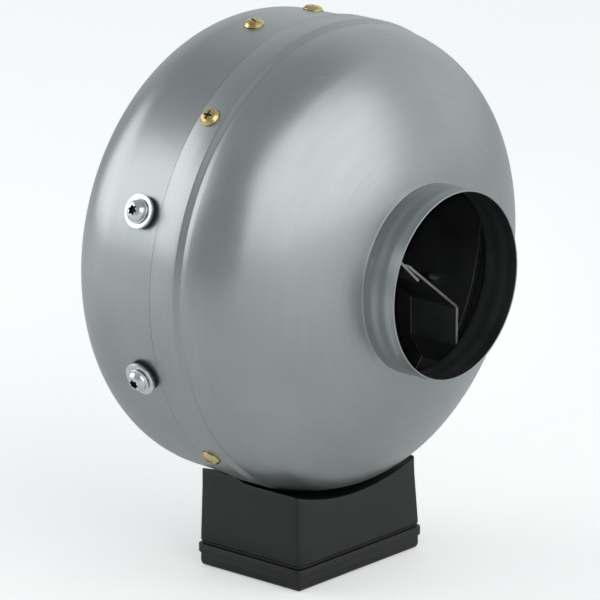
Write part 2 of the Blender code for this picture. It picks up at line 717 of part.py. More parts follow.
def blade_line(turn):
    """A backward-curved blade: an arc whose angle falls behind as its radius grows."""
    points = []
    for k in range(BLADE_STEPS + 1):
        share = k / BLADE_STEPS
        radius = BLADE_INNER_RADIUS + (IMPELLER_RADIUS - BLADE_TIP_INSET - BLADE_INNER_RADIUS) * share
        angle = turn + radians(BLADE_SWEEP) * share ** BLADE_CURVE
        points.append((radius * cos(angle), radius * sin(angle), radius))
    return points


def build_impeller(rotor):
    start = impeller_plate_start()
    plate_end = start + IMPELLER_PLATE
    bore = CAN_RADIUS / cos(pi / WHEEL_SIDES) + GAP
    profile = [(bore, start), (IMPELLER_RADIUS, start), (IMPELLER_RADIUS, plate_end), (bore, plate_end)]
    wheel = add_object("impeller_wheel", turned("impeller_wheel", profile, SHELL_SIDES), "impeller", rotor)
    blades = []
    for number in range(BLADE_COUNT):
        line = blade_line(2 * pi * number / BLADE_COUNT)
        stations = [(x, z, plate_end - IMPELLER_PLATE / 2, shroud_height(radius) - 2 * GAP)
                    for x, z, radius in line]
        blades.append(tool(folded_strip("blade", stations, BLADE_THICKNESS)))
    cut(wheel, *blades, operation="UNION")

    inner = BLADE_INNER_RADIUS
    eye = NOZZLE_THROAT_RADIUS + NOZZLE_SHEET + EYE_CLEARANCE
    eye_end = NOZZLE_TIP + EYE_OVERLAP
    top = shroud_height(inner)
    line = [(IMPELLER_RADIUS, shroud_height(IMPELLER_RADIUS)), (inner, top),
            (eye + COLLAR_LEAN, top + COLLAR_BEND), (eye, eye_end)]
    profile = sheet_profile(line, -SHROUD_THICKNESS)
    add_object("impeller_shroud", turned("impeller_shroud", profile, SHELL_SIDES), "impeller", rotor)


# ---------------------------------------------------------------- screws

def screw_mesh(name, head, shank, lobes):
    """A domed head above local Z = 0 with a recess of 4 or 6 lobes, and a plain shank below.

    head and shank are each (radius, height).
    """
    radius, height = head
    shank_radius, length = shank
    profile = [(0, height), (radius * HEAD_FLAT, height), (radius, height * HEAD_EDGE), (radius, 0),
               (shank_radius, 0), (shank_radius, -length), (0, -length)]
    piece = tool(turned(name, profile, SCREW_SIDES))
    reach = radius * RECESS_REACH
    valley = reach * (CROSS_VALLEY if lobes == 4 else STAR_VALLEY)
    half = asin(RECESS_SLOT / 2)
    outline = []
    for k in range(lobes):
        turn = 2 * pi * k / lobes
        outline += [(reach * cos(turn - half), reach * sin(turn - half)),
                    (reach * cos(turn + half), reach * sin(turn + half)),
                    (valley * cos(turn + pi / lobes), valley * sin(turn + pi / lobes))]
    cut(piece, tool(prism("recess", outline, height * RECESS_DEPTH, height * 2)))
    mesh = piece.data
    bpy.data.objects.remove(piece, do_unlink=True)
    return mesh


def set_screw(name, mesh, finish, frame):
    screw = add_object(name, mesh.copy(), finish)
    screw.matrix_world = frame


def build_screws():
    small = (SMALL_HEAD_RADIUS, SMALL_HEAD_HEIGHT)
    band = screw_mesh("band_screw", small, (SMALL_SHANK_RADIUS, BAND_SHANK_LENGTH), 4)
    for number, angle in enumerate(band_angles(), 1):
        frame = radial_frame(angle, BAND_RADIUS + GAP, BAND_SCREW_PLACE)
        set_screw(f"band_screw_{number}", band, "yellow_zinc", frame)
    top = screw_mesh("top_screw", small, (SMALL_SHANK_RADIUS, TOP_SHANK_LENGTH), 4)
    for number, angle in enumerate(TOP_SCREW_ANGLES, 1):
        frame = radial_frame(angle, wall_radius_at(TOP_SCREW_PLACE) + GAP, TOP_SCREW_PLACE)
        set_screw(f"top_screw_{number}", top, "yellow_zinc", frame)

    side = screw_mesh("side_screw", (SIDE_HEAD_RADIUS, SIDE_HEAD_HEIGHT),
                      (SIDE_SHANK_RADIUS, SIDE_SHANK_LENGTH), 6)
    bore = SIDE_SHANK_RADIUS + SCREW_ROOM
    stack = (("side_rubber", washer_mesh("side_rubber", bore, RUBBER_RADIUS, RUBBER_THICKNESS),
              "rubber", RUBBER_THICKNESS),
             ("side_washer", washer_mesh("side_washer", bore, WASHER_RADIUS, WASHER_THICKNESS),
              "zinc", WASHER_THICKNESS),
             ("side_screw", side, "zinc", 0))
    for number, angle in enumerate(side_angles(), 1):
        distance = wall_radius_at(SIDE_SCREW_PLACE)
        for name, mesh, finish, thickness in stack:
            frame = radial_frame(angle, distance + GAP, SIDE_SCREW_PLACE)
            set_screw(f"{name}_{number}", mesh, finish, frame)
            distance += GAP + thickness

    motor = screw_mesh("motor_screw", (PAN_HEAD_RADIUS, PAN_HEAD_HEIGHT),
                       (SMALL_SHANK_RADIUS, MOTOR_SHANK_LENGTH), 4)
    for number, (x, z) in enumerate(motor_screw_spots(), 1):
        frame = axis_frame(x, z, PLATE_FACE - PLATE_THICKNESS - GAP)
        set_screw(f"motor_screw_{number}", motor, "zinc", frame)


def washer_mesh(name, bore, radius, thickness):
    profile = [(bore, 0), (radius, 0), (radius, thickness), (bore, thickness)]
    return turned(name, profile, WASHER_SIDES)


# ---------------------------------------------------------------- terminal box

def saddle_outline(floor, crown, radius, inset):
    """Cross-section of the box: drafted sides and a hollow top that follows the casing.

    The top is an arc of the given radius, lowest at the middle; inset makes the inner outline.
    """
    points = [(-BOX_BASE_HALF_X + inset, floor), (BOX_BASE_HALF_X - inset, floor)]
    reach = asin((BOX_TOP_HALF_X - inset) / (radius + inset))
    center = crown + radius
    for k in range(SADDLE_STEPS + 1):
        turn = reach - 2 * reach * k / SADDLE_STEPS
        points.append(((radius + inset) * sin(turn), center - (radius + inset) * cos(turn)))
    return points


def saddle_heights():
    """Lowest points of the saddle: at the front, and higher at the back, just under the casing."""
    return BOX_HEIGHT - FRONT_SADDLE_DROP, BOX_HEIGHT


def box_solid(name, inset, floor):
    """The box's outer solid, or with an inset its inner space, as sections joined from front to back."""
    front_crown, back_crown = saddle_heights()
    lean = (BOX_FRONT_TOP - BOX_FRONT_BASE) / (front_crown - LID_HEIGHT)
    front = saddle_outline(floor, front_crown, FRONT_SADDLE_RADIUS, inset)
    back = saddle_outline(floor, back_crown, SADDLE_RADIUS, inset)
    sections = [[(x, BOX_FRONT_BASE + inset + lean * (z - LID_HEIGHT), z) for x, z in front],
                [(x, SADDLE_STEP_START, z) for x, z in front],
                [(x, SADDLE_STEP_END, z) for x, z in back],
                [(x, BOX_BACK - inset, z) for x, z in back]]
    return lofted(name, [[(x, axial(y), z) for x, y, z in section] for section in sections])


def side_wall_x(height):
    """Outside of the box's drafted side wall."""
    share = (height - LID_HEIGHT) / (saddle_heights()[0] - LID_HEIGHT)
    return BOX_BASE_HALF_X + (BOX_TOP_HALF_X - BOX_BASE_HALF_X) * min(share, 1)


def round_uprights(mesh, radius):
    """Bevel the four upright corner edges: the steep ones that have a sharp turn between their faces."""
    bm = bmesh.new()
    bm.from_mesh(mesh)
    uprights = [edge for edge in bm.edges
                if edge.is_manifold and edge.calc_face_angle() > pi / 3
                and abs((edge.verts[0].co - edge.verts[1].co).normalized().z) > cos(pi / 10)]
    bmesh.ops.bevel(bm, geom=uprights, offset=radius, segments=2, profile=0.5, affect="EDGES")
    bm.to_mesh(mesh)
    bm.free()


def post_spots():
    x = BOX_BASE_HALF_X - BOX_WALL - POST_INSET
    front = BOX_FRONT_BASE + BOX_WALL + POST_INSET
    back = BOX_BACK - BOX_WALL - POST_INSET
    return [(x, front), (-x, front), (-x, back), (x, back)]


def block_start():
    """Front of the terminal block, which is held against the box's back wall."""
    return BOX_BACK - BOX_WALL - GAP - BLOCK_SIZE[1]


def build_box():
    bottom = LID_HEIGHT + GASKET_HEIGHT + 2 * GAP
    mesh = box_solid("terminal_box", 0, bottom)
    round_uprights(mesh, BOX_CORNER)
    box = add_object("terminal_box", mesh, "plastic")
    inner = tool(box_solid("inner", BOX_WALL, LID_HEIGHT))
    lead_hole = pin(grommet_neck_radius() + GAP, LID_HEIGHT, AXIS_HEIGHT, MOTOR_SIDES)
    cut(box, inner, tool(lead_hole, Matrix.Translation((0, axial(LEAD_PLACE), 0))))
    posts = [tool(pin(POST_RADIUS, bottom, bottom + POST_HEIGHT), Matrix.Translation((x, axial(y), 0)))
             for x, y in post_spots()]
    cut(box, *posts, operation="UNION")
    bores = [tool(pin(LID_SHANK_RADIUS + GAP, 0, bottom + LID_SHANK_LENGTH),
                  Matrix.Translation((x, axial(y), 0))) for x, y in post_spots()]
    room = SMALL_SHANK_RADIUS + SCREW_ROOM
    bores += [tool(pin(room, LID_HEIGHT, AXIS_HEIGHT), Matrix.Translation((x, axial(BOX_SCREW_PLACE), 0)))
              for x in (-BOX_SCREW_X, BOX_SCREW_X)]
    bores.append(tool(pin(GLAND_THREAD_RADIUS + GAP, -2 * BOX_WALL, BOX_WALL, MOTOR_SIDES), gland_frame()))
    cut(box, *bores)


def ring_outline(inset):
    """The box's rim seen from above, moved in by inset, with its corners cut round."""
    half = BOX_BASE_HALF_X - inset
    front, back = axial(BOX_FRONT_BASE) + inset, axial(BOX_BACK) - inset
    radius = max(BOX_CORNER - inset, RIM_CORNER_LEAST)
    corners = ((half, back, 0), (-half, back, 90), (-half, front, 180), (half, front, 270))
    points = []
    for x, y, start in corners:
        center = (x - radius if x > 0 else x + radius, y - radius if y > 0 else y + radius)
        points += arc(center, radius, start, start + 90, 2)
    return points


def build_lid():
    """A tray whose lip stands proud at the joint, with its lower edge rounded."""
    lip_start = LID_HEIGHT - LID_LIP_HEIGHT
    lid = add_object("box_lid", prism("box_lid", ring_outline(-LID_LIP), lip_start, LID_HEIGHT), "plastic")
    round_middle = LID_BOTTOM_ROUND * LID_ROUND_MIDDLE
    levels = ((LID_BOTTOM_ROUND, 0), (round_middle, round_middle),
              (0, LID_BOTTOM_ROUND), (0, lip_start + LID_LIP))
    lower = lofted("lower", [[(x, y, z) for x, y in ring_outline(inset)] for inset, z in levels])
    cut(lid, tool(lower), operation="UNION")
    hollow = tool(prism("hollow", ring_outline(LID_WALL), LID_FLOOR, LID_HEIGHT * 2))
    cut(lid, hollow)
    bosses = [tool(pin(POST_RADIUS, LID_FLOOR / 2, LID_HEIGHT - GAP), Matrix.Translation((x, axial(y), 0)))
              for x, y in post_spots()]
    cut(lid, *bosses, operation="UNION")
    bores = []
    for x, y in post_spots():
        spot = Matrix.Translation((x, axial(y), 0))
        bores.append(tool(pin(LID_SHANK_RADIUS + SCREW_ROOM, -LID_FLOOR, LID_HEIGHT * 2), spot))
        bores.append(tool(pin(LID_HEAD_RADIUS + GAP, -LID_FLOOR, lid_seat() + GAP), spot))
    cut(lid, *bores)

    inner = ring_outline(GASKET_INSET + GASKET_WIDTH)
    mesh = prism("lid_gasket", ring_outline(GASKET_INSET), LID_HEIGHT + GAP,
                 LID_HEIGHT + GAP + GASKET_HEIGHT, [inner])
    add_object("lid_gasket", mesh, "rubber")

    length = LID_HEIGHT - lid_seat() + LID_SHANK_LENGTH
    mesh = screw_mesh("lid_screw", (LID_HEAD_RADIUS, LID_HEAD_HEIGHT), (LID_SHANK_RADIUS, length), 4)
    for number, (x, y) in enumerate(post_spots(), 1):
        frame = Matrix.Translation((x, axial(y), lid_seat())) @ Matrix.Rotation(pi, 4, "X")
        set_screw(f"lid_screw_{number}", mesh, "zinc", frame)


def lid_seat():
    """Height of the seats under the lid screws' sunk heads."""
    return LID_HEAD_HEIGHT + LID_HEAD_SINK


def build_box_screws():
    """Screws from inside the box, up through its roof and the casing."""
    back_crown = saddle_heights()[1]
    mesh = screw_mesh("box_screw", (PAN_HEAD_RADIUS, PAN_HEAD_HEIGHT),
                      (SMALL_SHANK_RADIUS, BOX_SHANK_LENGTH), 4)
    edge = BOX_SCREW_X - PAN_HEAD_RADIUS
    radius = SADDLE_RADIUS + BOX_WALL
    roof = back_crown + SADDLE_RADIUS - sqrt(radius ** 2 - edge ** 2)
    for number, x in enumerate((-BOX_SCREW_X, BOX_SCREW_X), 1):
        place = Matrix.Translation((x, axial(BOX_SCREW_PLACE), roof - GAP))
        set_screw(f"box_screw_{number}", mesh, "zinc", place @ Matrix.Rotation(pi, 4, "X"))


def build_terminal_block():
    """A row of poles against the back wall, just under the end of the motor's lead."""
    width, depth, height = BLOCK_SIZE
    step = width / BLOCK_POLES
    outline = []
    for k in range(BLOCK_POLES):
        left = -width / 2 + step * k
        edge = left + step * BLOCK_POLE_SHARE
        outline += [(left, 0), (edge, 0), (edge, -BLOCK_GROOVE), (left + step, -BLOCK_GROOVE)]
    outline += [(width / 2, -height), (-width / 2, -height)]
    block = add_object("terminal_block", prism("terminal_block", outline, 0, depth), "terminal")
    top = grommet_bottom() - LEAD_DROP - GAP
    place = Matrix.Translation((0, axial(block_start() + depth), top))
    block.matrix_world = place @ Matrix.Rotation(pi / 2, 4, "X")


def build_capacitor():
    """A round capacitor that lies across the box in a clip, close under the roof."""
    front_crown = saddle_heights()[0]
    height = front_crown - BOX_WALL - GAP - CLIP_BAND - GAP - CAPACITOR_RADIUS
    center = Matrix.Translation((0, axial(CAPACITOR_PLACE), height))
    lying = center @ Matrix.Rotation(pi / 2, 4, "Y")
    half, edge = CAPACITOR_LENGTH / 2, CAPACITOR_EDGE
    profile = [(0, -half), (CAPACITOR_RADIUS - edge, -half), (CAPACITOR_RADIUS, -half + edge),
               (CAPACITOR_RADIUS, half - edge), (CAPACITOR_RADIUS - edge, half), (0, half)]
    capacitor = add_object("capacitor", turned("capacitor", profile, MOTOR_SIDES), "capacitor")
    capacitor.matrix_world = lying
    inner = CAPACITOR_RADIUS + GAP
    outer = inner + CLIP_BAND
    half = CLIP_BAND_WIDTH / 2
    profile = [(inner, -half), (outer, -half), (outer, half), (inner, half)]
    clip = add_object("capacitor_clip", turned("capacitor_clip", profile, MOTOR_SIDES), "plastic")
    clip.matrix_world = lying


def gland_frame():
    """A frame on the gland's axis, with its Z out through the box's right wall."""
    wall = side_wall_x(GLAND_HEIGHT - GLAND_HEX_RADIUS)
    point = (wall, axial(GLAND_PLACE), GLAND_HEIGHT)
    return Matrix.Translation(point) @ Matrix.Rotation(pi / 2, 4, "Y")


def build_gland():
    end = GLAND_HEX_LENGTH + GLAND_NOSE_LENGTH
    seal_start = end - GLAND_SEAL_LENGTH
    seat = GLAND_SEAL_RADIUS + GAP
    profile = [(GLAND_BORE_RADIUS, -GLAND_INNER_LENGTH), (GLAND_THREAD_RADIUS, -GLAND_INNER_LENGTH),
               (GLAND_THREAD_RADIUS, end), (seat, end), (seat, seal_start - GAP),
               (GLAND_BORE_RADIUS, seal_start - GAP)]
    body = add_object("gland_body", turned("gland_body", profile, MOTOR_SIDES), "plastic")
    hole = circle((GLAND_BORE_RADIUS + GLAND_THREAD_RADIUS) / 2, MOTOR_SIDES)
    hexagon = prism("hexagon", circle(GLAND_HEX_RADIUS, 6), GAP, GAP + GLAND_HEX_LENGTH, [hole])
    cut(body, tool(hexagon), operation="UNION")
    body.matrix_world = gland_frame()

    start = 2 * GAP + GLAND_HEX_LENGTH
    top = start + GLAND_NUT_LENGTH
    inner = (GLAND_THREAD_RADIUS + GAP) / cos(pi / MOTOR_SIDES)
    outer = NUT_RADIUS
    cap = end + GAP
    profile = [(inner, start), (outer, start), (outer, top - NUT_SHOULDER), (outer - NUT_TAPER, top),
               (GLAND_BORE_RADIUS, top), (GLAND_BORE_RADIUS, cap), (inner, cap)]
    nut = add_object("gland_nut", turned("gland_nut", profile, MOTOR_SIDES), "plastic")
    nut.matrix_world = gland_frame()

    profile = [(GLAND_SEAL_BORE, seal_start), (GLAND_SEAL_RADIUS, seal_start),
               (GLAND_SEAL_RADIUS, end), (GLAND_SEAL_BORE, end)]
    seal = add_object("gland_seal", turned("gland_seal", profile, MOTOR_SIDES), "rubber")
    seal.matrix_world = gland_frame()


def grommet_top():
    """Top of the grommet's inner lip, inside the casing."""
    return grommet_seat() + GROMMET_LIP_HEIGHT


def grommet_seat():
    """The casing's inside under the lip, at the lip's edge, where the round wall is highest."""
    edge = grommet_neck_radius() + GROMMET_LIP
    inside = wall_radius_at(LEAD_PLACE + edge) - SHEET
    return AXIS_HEIGHT - sqrt(inside ** 2 - edge ** 2) + 3 * GAP


def grommet_bottom():
    back = saddle_heights()[1]
    return back - BOX_WALL - 2 * GAP - GROMMET_LIP_HEIGHT


def build_grommet():
    bore = LEAD_RADIUS + GROMMET_BORE_ROOM
    neck = grommet_neck_radius()
    lip = neck + GROMMET_LIP
    top, seat, bottom = grommet_top(), grommet_seat(), grommet_bottom()
    profile = [(bore, bottom), (neck, bottom), (neck, seat), (lip, seat), (lip, top), (bore, top)]
    grommet = add_object("casing_grommet", turned("casing_grommet", profile, MOTOR_SIDES), "rubber")
    grommet.location = (0, axial(LEAD_PLACE), 0)


def lead_route():
    """(y, z) points from the motor's flange, down through the grommet, to the terminal block."""
    start = AXIS_HEIGHT - MOTOR_FLANGE_RADIUS - GAP
    first, last = axial(LEAD_START_PLACE), axial(LEAD_PLACE)
    turn = start - LEAD_STRAIGHT
    bend = grommet_top() + LEAD_BEND_HEIGHT
    route = [(first, start), (first, turn)]
    for k in range(1, LEAD_STEPS + 1):
        share = k / LEAD_STEPS
        ease = share * share * (3 - 2 * share)
        route.append((first + (last - first) * ease, turn + (bend - turn) * share))
    return route + [(last, grommet_top()), (last, grommet_bottom() - LEAD_DROP)]


def build_lead():
    route = lead_route()
    curve = bpy.data.curves.new("motor_lead", "CURVE")
    curve.dimensions = "3D"
    curve.bevel_depth = LEAD_RADIUS
    curve.bevel_resolution = 2
    curve.use_fill_caps = True
    spline = curve.splines.new("POLY")
    spline.points.add(len(route) - 1)
    for point, (y, z) in zip(spline.points, route):
        point.co = (0, y, z, 1)
    lead = bpy.data.objects.new("motor_lead", curve)
    bpy.context.collection.objects.link(lead)
    curve.materials.append(material_for("motor_lead", "cable"))


# ---------------------------------------------------------------- whole fan

def main():
    clear_scene()
    axis = add_empty("fan_axis", (0, SPLIT_Y, AXIS_HEIGHT))
    rotor = add_empty("rotor_axis", (0, SPLIT_Y, AXIS_HEIGHT))
    bpy.context.view_layer.update()
    build_casing(axis)
    build_nozzle(axis)
    build_support(axis)
    build_stator(axis)
    build_bearings(axis, rotor)
    build_rotor(rotor)
    build_impeller(rotor)
    build_screws()
    build_box()
    build_lid()
    build_box_screws()
    build_terminal_block()
    build_capacitor()
    build_gland()
    build_grommet()
    build_lead()


main()
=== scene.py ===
# %% [markdown]
# # Dressing an inline duct fan
#
# A fan of this kind hangs in a run of round duct. Two pressed steel halves make the casing, a
# centrifugal wheel turns inside it, and a plastic box beneath holds the terminals. The frame
# already has every part at its real size, but as plain facets. This lesson turns the parts
# that show into smooth, rounded ones, and gives each part the finish that it has in real life.
# First the frame is loaded.

# %% Load the frame
import json
from math import acos, cos, degrees, pi, radians, sin, sqrt, tan

import bmesh
import bpy
import numpy as np
from mathutils import Matrix, Vector


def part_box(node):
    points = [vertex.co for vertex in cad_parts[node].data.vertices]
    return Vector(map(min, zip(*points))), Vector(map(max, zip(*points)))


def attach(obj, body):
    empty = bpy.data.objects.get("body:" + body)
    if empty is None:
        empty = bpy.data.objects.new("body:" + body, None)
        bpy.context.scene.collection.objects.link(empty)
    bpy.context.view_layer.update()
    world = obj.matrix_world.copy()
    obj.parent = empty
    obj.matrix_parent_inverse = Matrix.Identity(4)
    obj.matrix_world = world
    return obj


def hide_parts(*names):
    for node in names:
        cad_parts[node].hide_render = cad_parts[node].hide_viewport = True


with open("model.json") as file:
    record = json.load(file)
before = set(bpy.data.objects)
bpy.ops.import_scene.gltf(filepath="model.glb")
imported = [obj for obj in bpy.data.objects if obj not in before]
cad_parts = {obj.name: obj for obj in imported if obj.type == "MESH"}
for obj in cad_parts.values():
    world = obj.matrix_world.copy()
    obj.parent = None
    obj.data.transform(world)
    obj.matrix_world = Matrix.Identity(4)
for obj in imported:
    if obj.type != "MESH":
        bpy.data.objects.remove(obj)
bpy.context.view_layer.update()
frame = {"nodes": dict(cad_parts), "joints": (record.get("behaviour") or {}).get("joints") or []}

# %% [markdown]
# ## Camera
#
# The fan is seen from far away through a long lens, so that its round casing isn't stretched by
# perspective. The camera looks down a little, from the outlet's left.

# %% Camera
scene = bpy.context.scene


def put(thing):
    """Links a new object to the scene and hands it back."""
    scene.collection.objects.link(thing)
    return thing


camera = put(bpy.data.objects.new("camera", bpy.data.cameras.new("camera")))
camera.data.sensor_width = 36
camera.data.lens = 384.8
camera.location = (-2.3932, -2.0746, 1.1000)
aim = Vector((-0.02685, -0.0204, 0.1489))
camera.rotation_euler = (aim - camera.location).to_track_quat("-Z", "Y").to_euler()
scene.camera = camera
print("camera is", round((aim - camera.location).length, 2), "m away")

# %% [markdown]
# ## Tools for shapes
#
# Most parts of a fan are turned or spun, so one tool turns a profile round an axis. A profile is
# a closed list of (radius, height) points. Corners are rounded first, because a real edge always
# catches a little light. The other tools give a line of sheet its thickness, and join rings of
# points into a skin. Every mesh has its doubles merged and its faces turned outwards at the end.

# %% Tools for lines
def arc(center, radius, start, end, steps):
    """Points on a round stretch, with its angles in degrees."""
    turns = [radians(start + (end - start) * k / steps) for k in range(steps + 1)]
    return [(center[0] + radius * cos(t), center[1] + radius * sin(t)) for t in turns]


def rounded(points, closed=True, steps=4):
    """Rounds each corner that is given as (a, b, radius); a plain (a, b) stays sharp."""
    count, line = len(points), []
    for k, point in enumerate(points):
        at_end = not closed and k in (0, count - 1)
        if len(point) == 2 or at_end:
            line.append(tuple(point[:2]))
            continue
        corner = Vector(point[:2])
        before = Vector(points[k - 1][:2]) - corner
        after = Vector(points[(k + 1) % count][:2]) - corner
        half = before.angle(after) / 2
        reach = min(point[2] / tan(half), 0.48 * before.length, 0.48 * after.length)
        first = corner + before.normalized() * reach
        last = corner + after.normalized() * reach
        for step in range(steps + 1):
            t = step / steps
            line.append(tuple(first * (1 - t) ** 2 + corner * 2 * t * (1 - t) + last * t * t))
    return line


def offset_line(points, distance):
    """The same open line moved to its left by distance, with mitred corners."""
    moved = []
    for k, point in enumerate(points):
        before, after = points[max(k - 1, 0)], points[min(k + 1, len(points) - 1)]
        into = Vector((point[0] - before[0], point[1] - before[1]))
        out = Vector((after[0] - point[0], after[1] - point[1]))
        into = into.normalized() if into.length else out.normalized()
        out = out.normalized() if out.length else into
        bisector = (into + out).normalized()
        stretch = distance / bisector.dot(into)
        moved.append((point[0] - bisector.y * stretch, point[1] + bisector.x * stretch))
    return moved


EDGE_STEPS = 4


def sheet_loop(line, thickness, end_steps=EDGE_STEPS):
    """Sheet that follows a line, with its thickness on the left and rounded edges.

    Gives the closed profile, and for each of its stretches 0 for the line's side and the
    edges, or 1 for the other side.
    """
    line = [Vector(p) for p in line]
    half = abs(thickness) / 2
    line[0] += (line[1] - line[0]).normalized() * half
    line[-1] += (line[-2] - line[-1]).normalized() * half
    back = [Vector(p) for p in offset_line([tuple(p) for p in line], thickness)[::-1]]

    def edge(start, end, outwards):
        middle, spoke = (start + end) / 2, (start - end) / 2
        return [middle + spoke * cos(pi * k / end_steps) + outwards * half * sin(pi * k / end_steps)
                for k in range(1, end_steps)]

    far = edge(line[-1], back[0], (line[-1] - line[-2]).normalized())
    near = edge(back[-1], line[0], (line[0] - line[1]).normalized())
    loop = [tuple(p) for p in line + far + back + near]
    sides = [0] * (len(line) + len(far)) + [1] * (len(back) - 1) + [0] * (len(near) + 1)
    return loop, sides


# %% Tools for meshes
SMOOTH_ANGLE = 38


def tidy(mesh, smooth_angle=SMOOTH_ANGLE):
    """Merges doubles, turns the faces outwards and shades the mesh smooth up to an angle."""
    bm = bmesh.new()
    bm.from_mesh(mesh)
    bmesh.ops.remove_doubles(bm, verts=bm.verts, dist=1e-7)
    bmesh.ops.dissolve_degenerate(bm, edges=bm.edges, dist=1e-8)
    bmesh.ops.recalc_face_normals(bm, faces=bm.faces)
    bm.to_mesh(mesh)
    bm.free()
    mesh.shade_smooth()
    mesh.set_sharp_from_angle(angle=radians(smooth_angle))
    return mesh


def turned(name, profile, place=Matrix.Identity(4), sides=192, finishes=None, smooth_angle=SMOOTH_ANGLE):
    """Turns a closed profile of (radius, height) round local Z, then moves it by a matrix."""
    count = len(profile)
    turn = np.arange(sides) * (2 * pi / sides)
    radius, height = np.array(profile, float).T
    points = np.stack([np.outer(np.cos(turn), radius), np.outer(np.sin(turn), radius),
                       np.tile(height, (sides, 1))], axis=-1).reshape(-1, 3)
    ring = np.arange(sides)[:, None] * count
    following = (np.arange(sides)[:, None] + 1) % sides * count
    here, there = np.arange(count), (np.arange(count) + 1) % count
    quads = np.stack([ring + here, following + here, following + there, ring + there], axis=-1)
    mesh = bpy.data.meshes.new(name)
    mesh.from_pydata(points.tolist(), [], quads.reshape(-1, 4).tolist())
    if finishes:
        mesh.polygons.foreach_set("material_index", np.tile(finishes, sides))
    mesh.transform(place)
    return put(bpy.data.objects.new(name, tidy(mesh, smooth_angle)))


def lofted(name, rings, finishes=None, smooth_angle=SMOOTH_ANGLE):
    """Joins rings of as many points each, in order, and closes both ends."""
    count = len(rings[0])
    points = [tuple(p) for ring in rings for p in ring]
    faces = [[k * count + a, k * count + (a + 1) % count,
              (k + 1) * count + (a + 1) % count, (k + 1) * count + a]
             for k in range(len(rings) - 1) for a in range(count)]
    faces.append(list(range(count)))
    faces.append([(len(rings) - 1) * count + a for a in range(count)])
    mesh = bpy.data.meshes.new(name)
    mesh.from_pydata(points, [], faces)
    if finishes:
        mesh.polygons.foreach_set("material_index", finishes)
    return put(bpy.data.objects.new(name, tidy(mesh, smooth_angle)))


def joined(name, pieces):
    """One object made of several, with the first one's materials."""
    bm = bmesh.new()
    for piece in pieces:
        bm.from_mesh(piece.data)
    mesh = bpy.data.meshes.new(name)
    bm.to_mesh(mesh)
    bm.free()
    mesh.shade_smooth()
    mesh.set_sharp_from_angle(angle=radians(SMOOTH_ANGLE))
    for piece in pieces:
        bpy.data.objects.remove(piece, do_unlink=True)
    return put(bpy.data.objects.new(name, mesh))


def carved(piece, cutters):
    """Cuts the cutters out of a piece and removes them."""
    for cutter in cutters:
        step = piece.modifiers.new("cut", "BOOLEAN")
        step.object = cutter
        step.solver = "EXACT"
    bpy.context.view_layer.update()
    graph = bpy.context.evaluated_depsgraph_get()
    mesh = bpy.data.meshes.new_from_object(piece.evaluated_get(graph))
    piece.modifiers.clear()
    piece.data = tidy(mesh)
    for cutter in cutters:
        bpy.data.objects.remove(cutter, do_unlink=True)
    return piece


def wear(piece, body, materials, *nodes, slot=None):
    """Gives a piece its materials and body, and says which frame nodes it stands for."""
    mesh = piece.data
    numbers = [face.material_index for face in mesh.polygons]
    if materials:
        numbers = [min(number, len(materials) - 1) for number in numbers]
    else:
        used = sorted(set(numbers))
        materials = [mesh.materials[number] for number in used]
        numbers = [used.index(number) for number in numbers]
    mesh.materials.clear()
    for material in materials:
        mesh.materials.append(material)
    mesh.polygons.foreach_set("material_index", numbers)
    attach(piece, body)
    if nodes:
        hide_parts(*nodes)
    print(f"{piece.name}: {len(piece.data.polygons)} faces, stands for {len(nodes)} nodes")
    return piece


# %% [markdown]
# ## Effects that several finishes share
#
# Three node groups are built once and placed in many materials. *Patches* gives soft clouds, for
# colour and gloss that drift over a surface. *Spun marks* gives fine rings that run round the
# fan's axis, as the spinning tool leaves them. *Scuffs* gives a few short, pale rubs. They put
# out numbers only: the shader itself stays in each material, where the export can read it.

# %% Node helpers
FLOAT, VECTOR = "NodeSocketFloat", "NodeSocketVector"


def node(tree, kind, inputs=None, **settings):
    """Adds a node. Each input is given a value, or the socket that feeds it."""
    made = tree.nodes.new(kind)
    for key, value in settings.items():
        setattr(made, key, value)
    for key, value in (inputs or {}).items():
        if isinstance(value, bpy.types.NodeSocket):
            tree.links.new(value, made.inputs[key])
        else:
            made.inputs[key].default_value = value
    return made


def calc(tree, operation, *values):
    """The result of one Math node."""
    return node(tree, "ShaderNodeMath", dict(enumerate(values)), operation=operation).outputs[0]


def group(name, kind, inputs, outputs):
    """A new node group with named sockets; gives the tree, its inputs and its output node."""
    tree = bpy.data.node_groups.new(name, kind)
    for label, socket_kind, value in inputs:
        socket = tree.interface.new_socket(label, in_out="INPUT", socket_type=socket_kind)
        if value is not None:
            socket.default_value = value
    for label, socket_kind in outputs:
        tree.interface.new_socket(label, in_out="OUTPUT", socket_type=socket_kind)
    return tree, tree.nodes.new("NodeGroupInput").outputs, tree.nodes.new("NodeGroupOutput")


# %% Patches, spun marks and scuffs
def build_patches():
    tree, given, end = group("patches", "ShaderNodeTree", [("Size", FLOAT, 0.02), ("Detail", FLOAT, 3)],
                             [("Value", FLOAT)])
    place = node(tree, "ShaderNodeTexCoord").outputs["Object"]
    noise = node(tree, "ShaderNodeTexNoise", {"Vector": place, "Detail": given["Detail"],
                                              "Scale": calc(tree, "DIVIDE", 1, given["Size"])})
    tree.links.new(noise.outputs["Factor" if "Factor" in noise.outputs else "Fac"], end.inputs["Value"])
    return tree


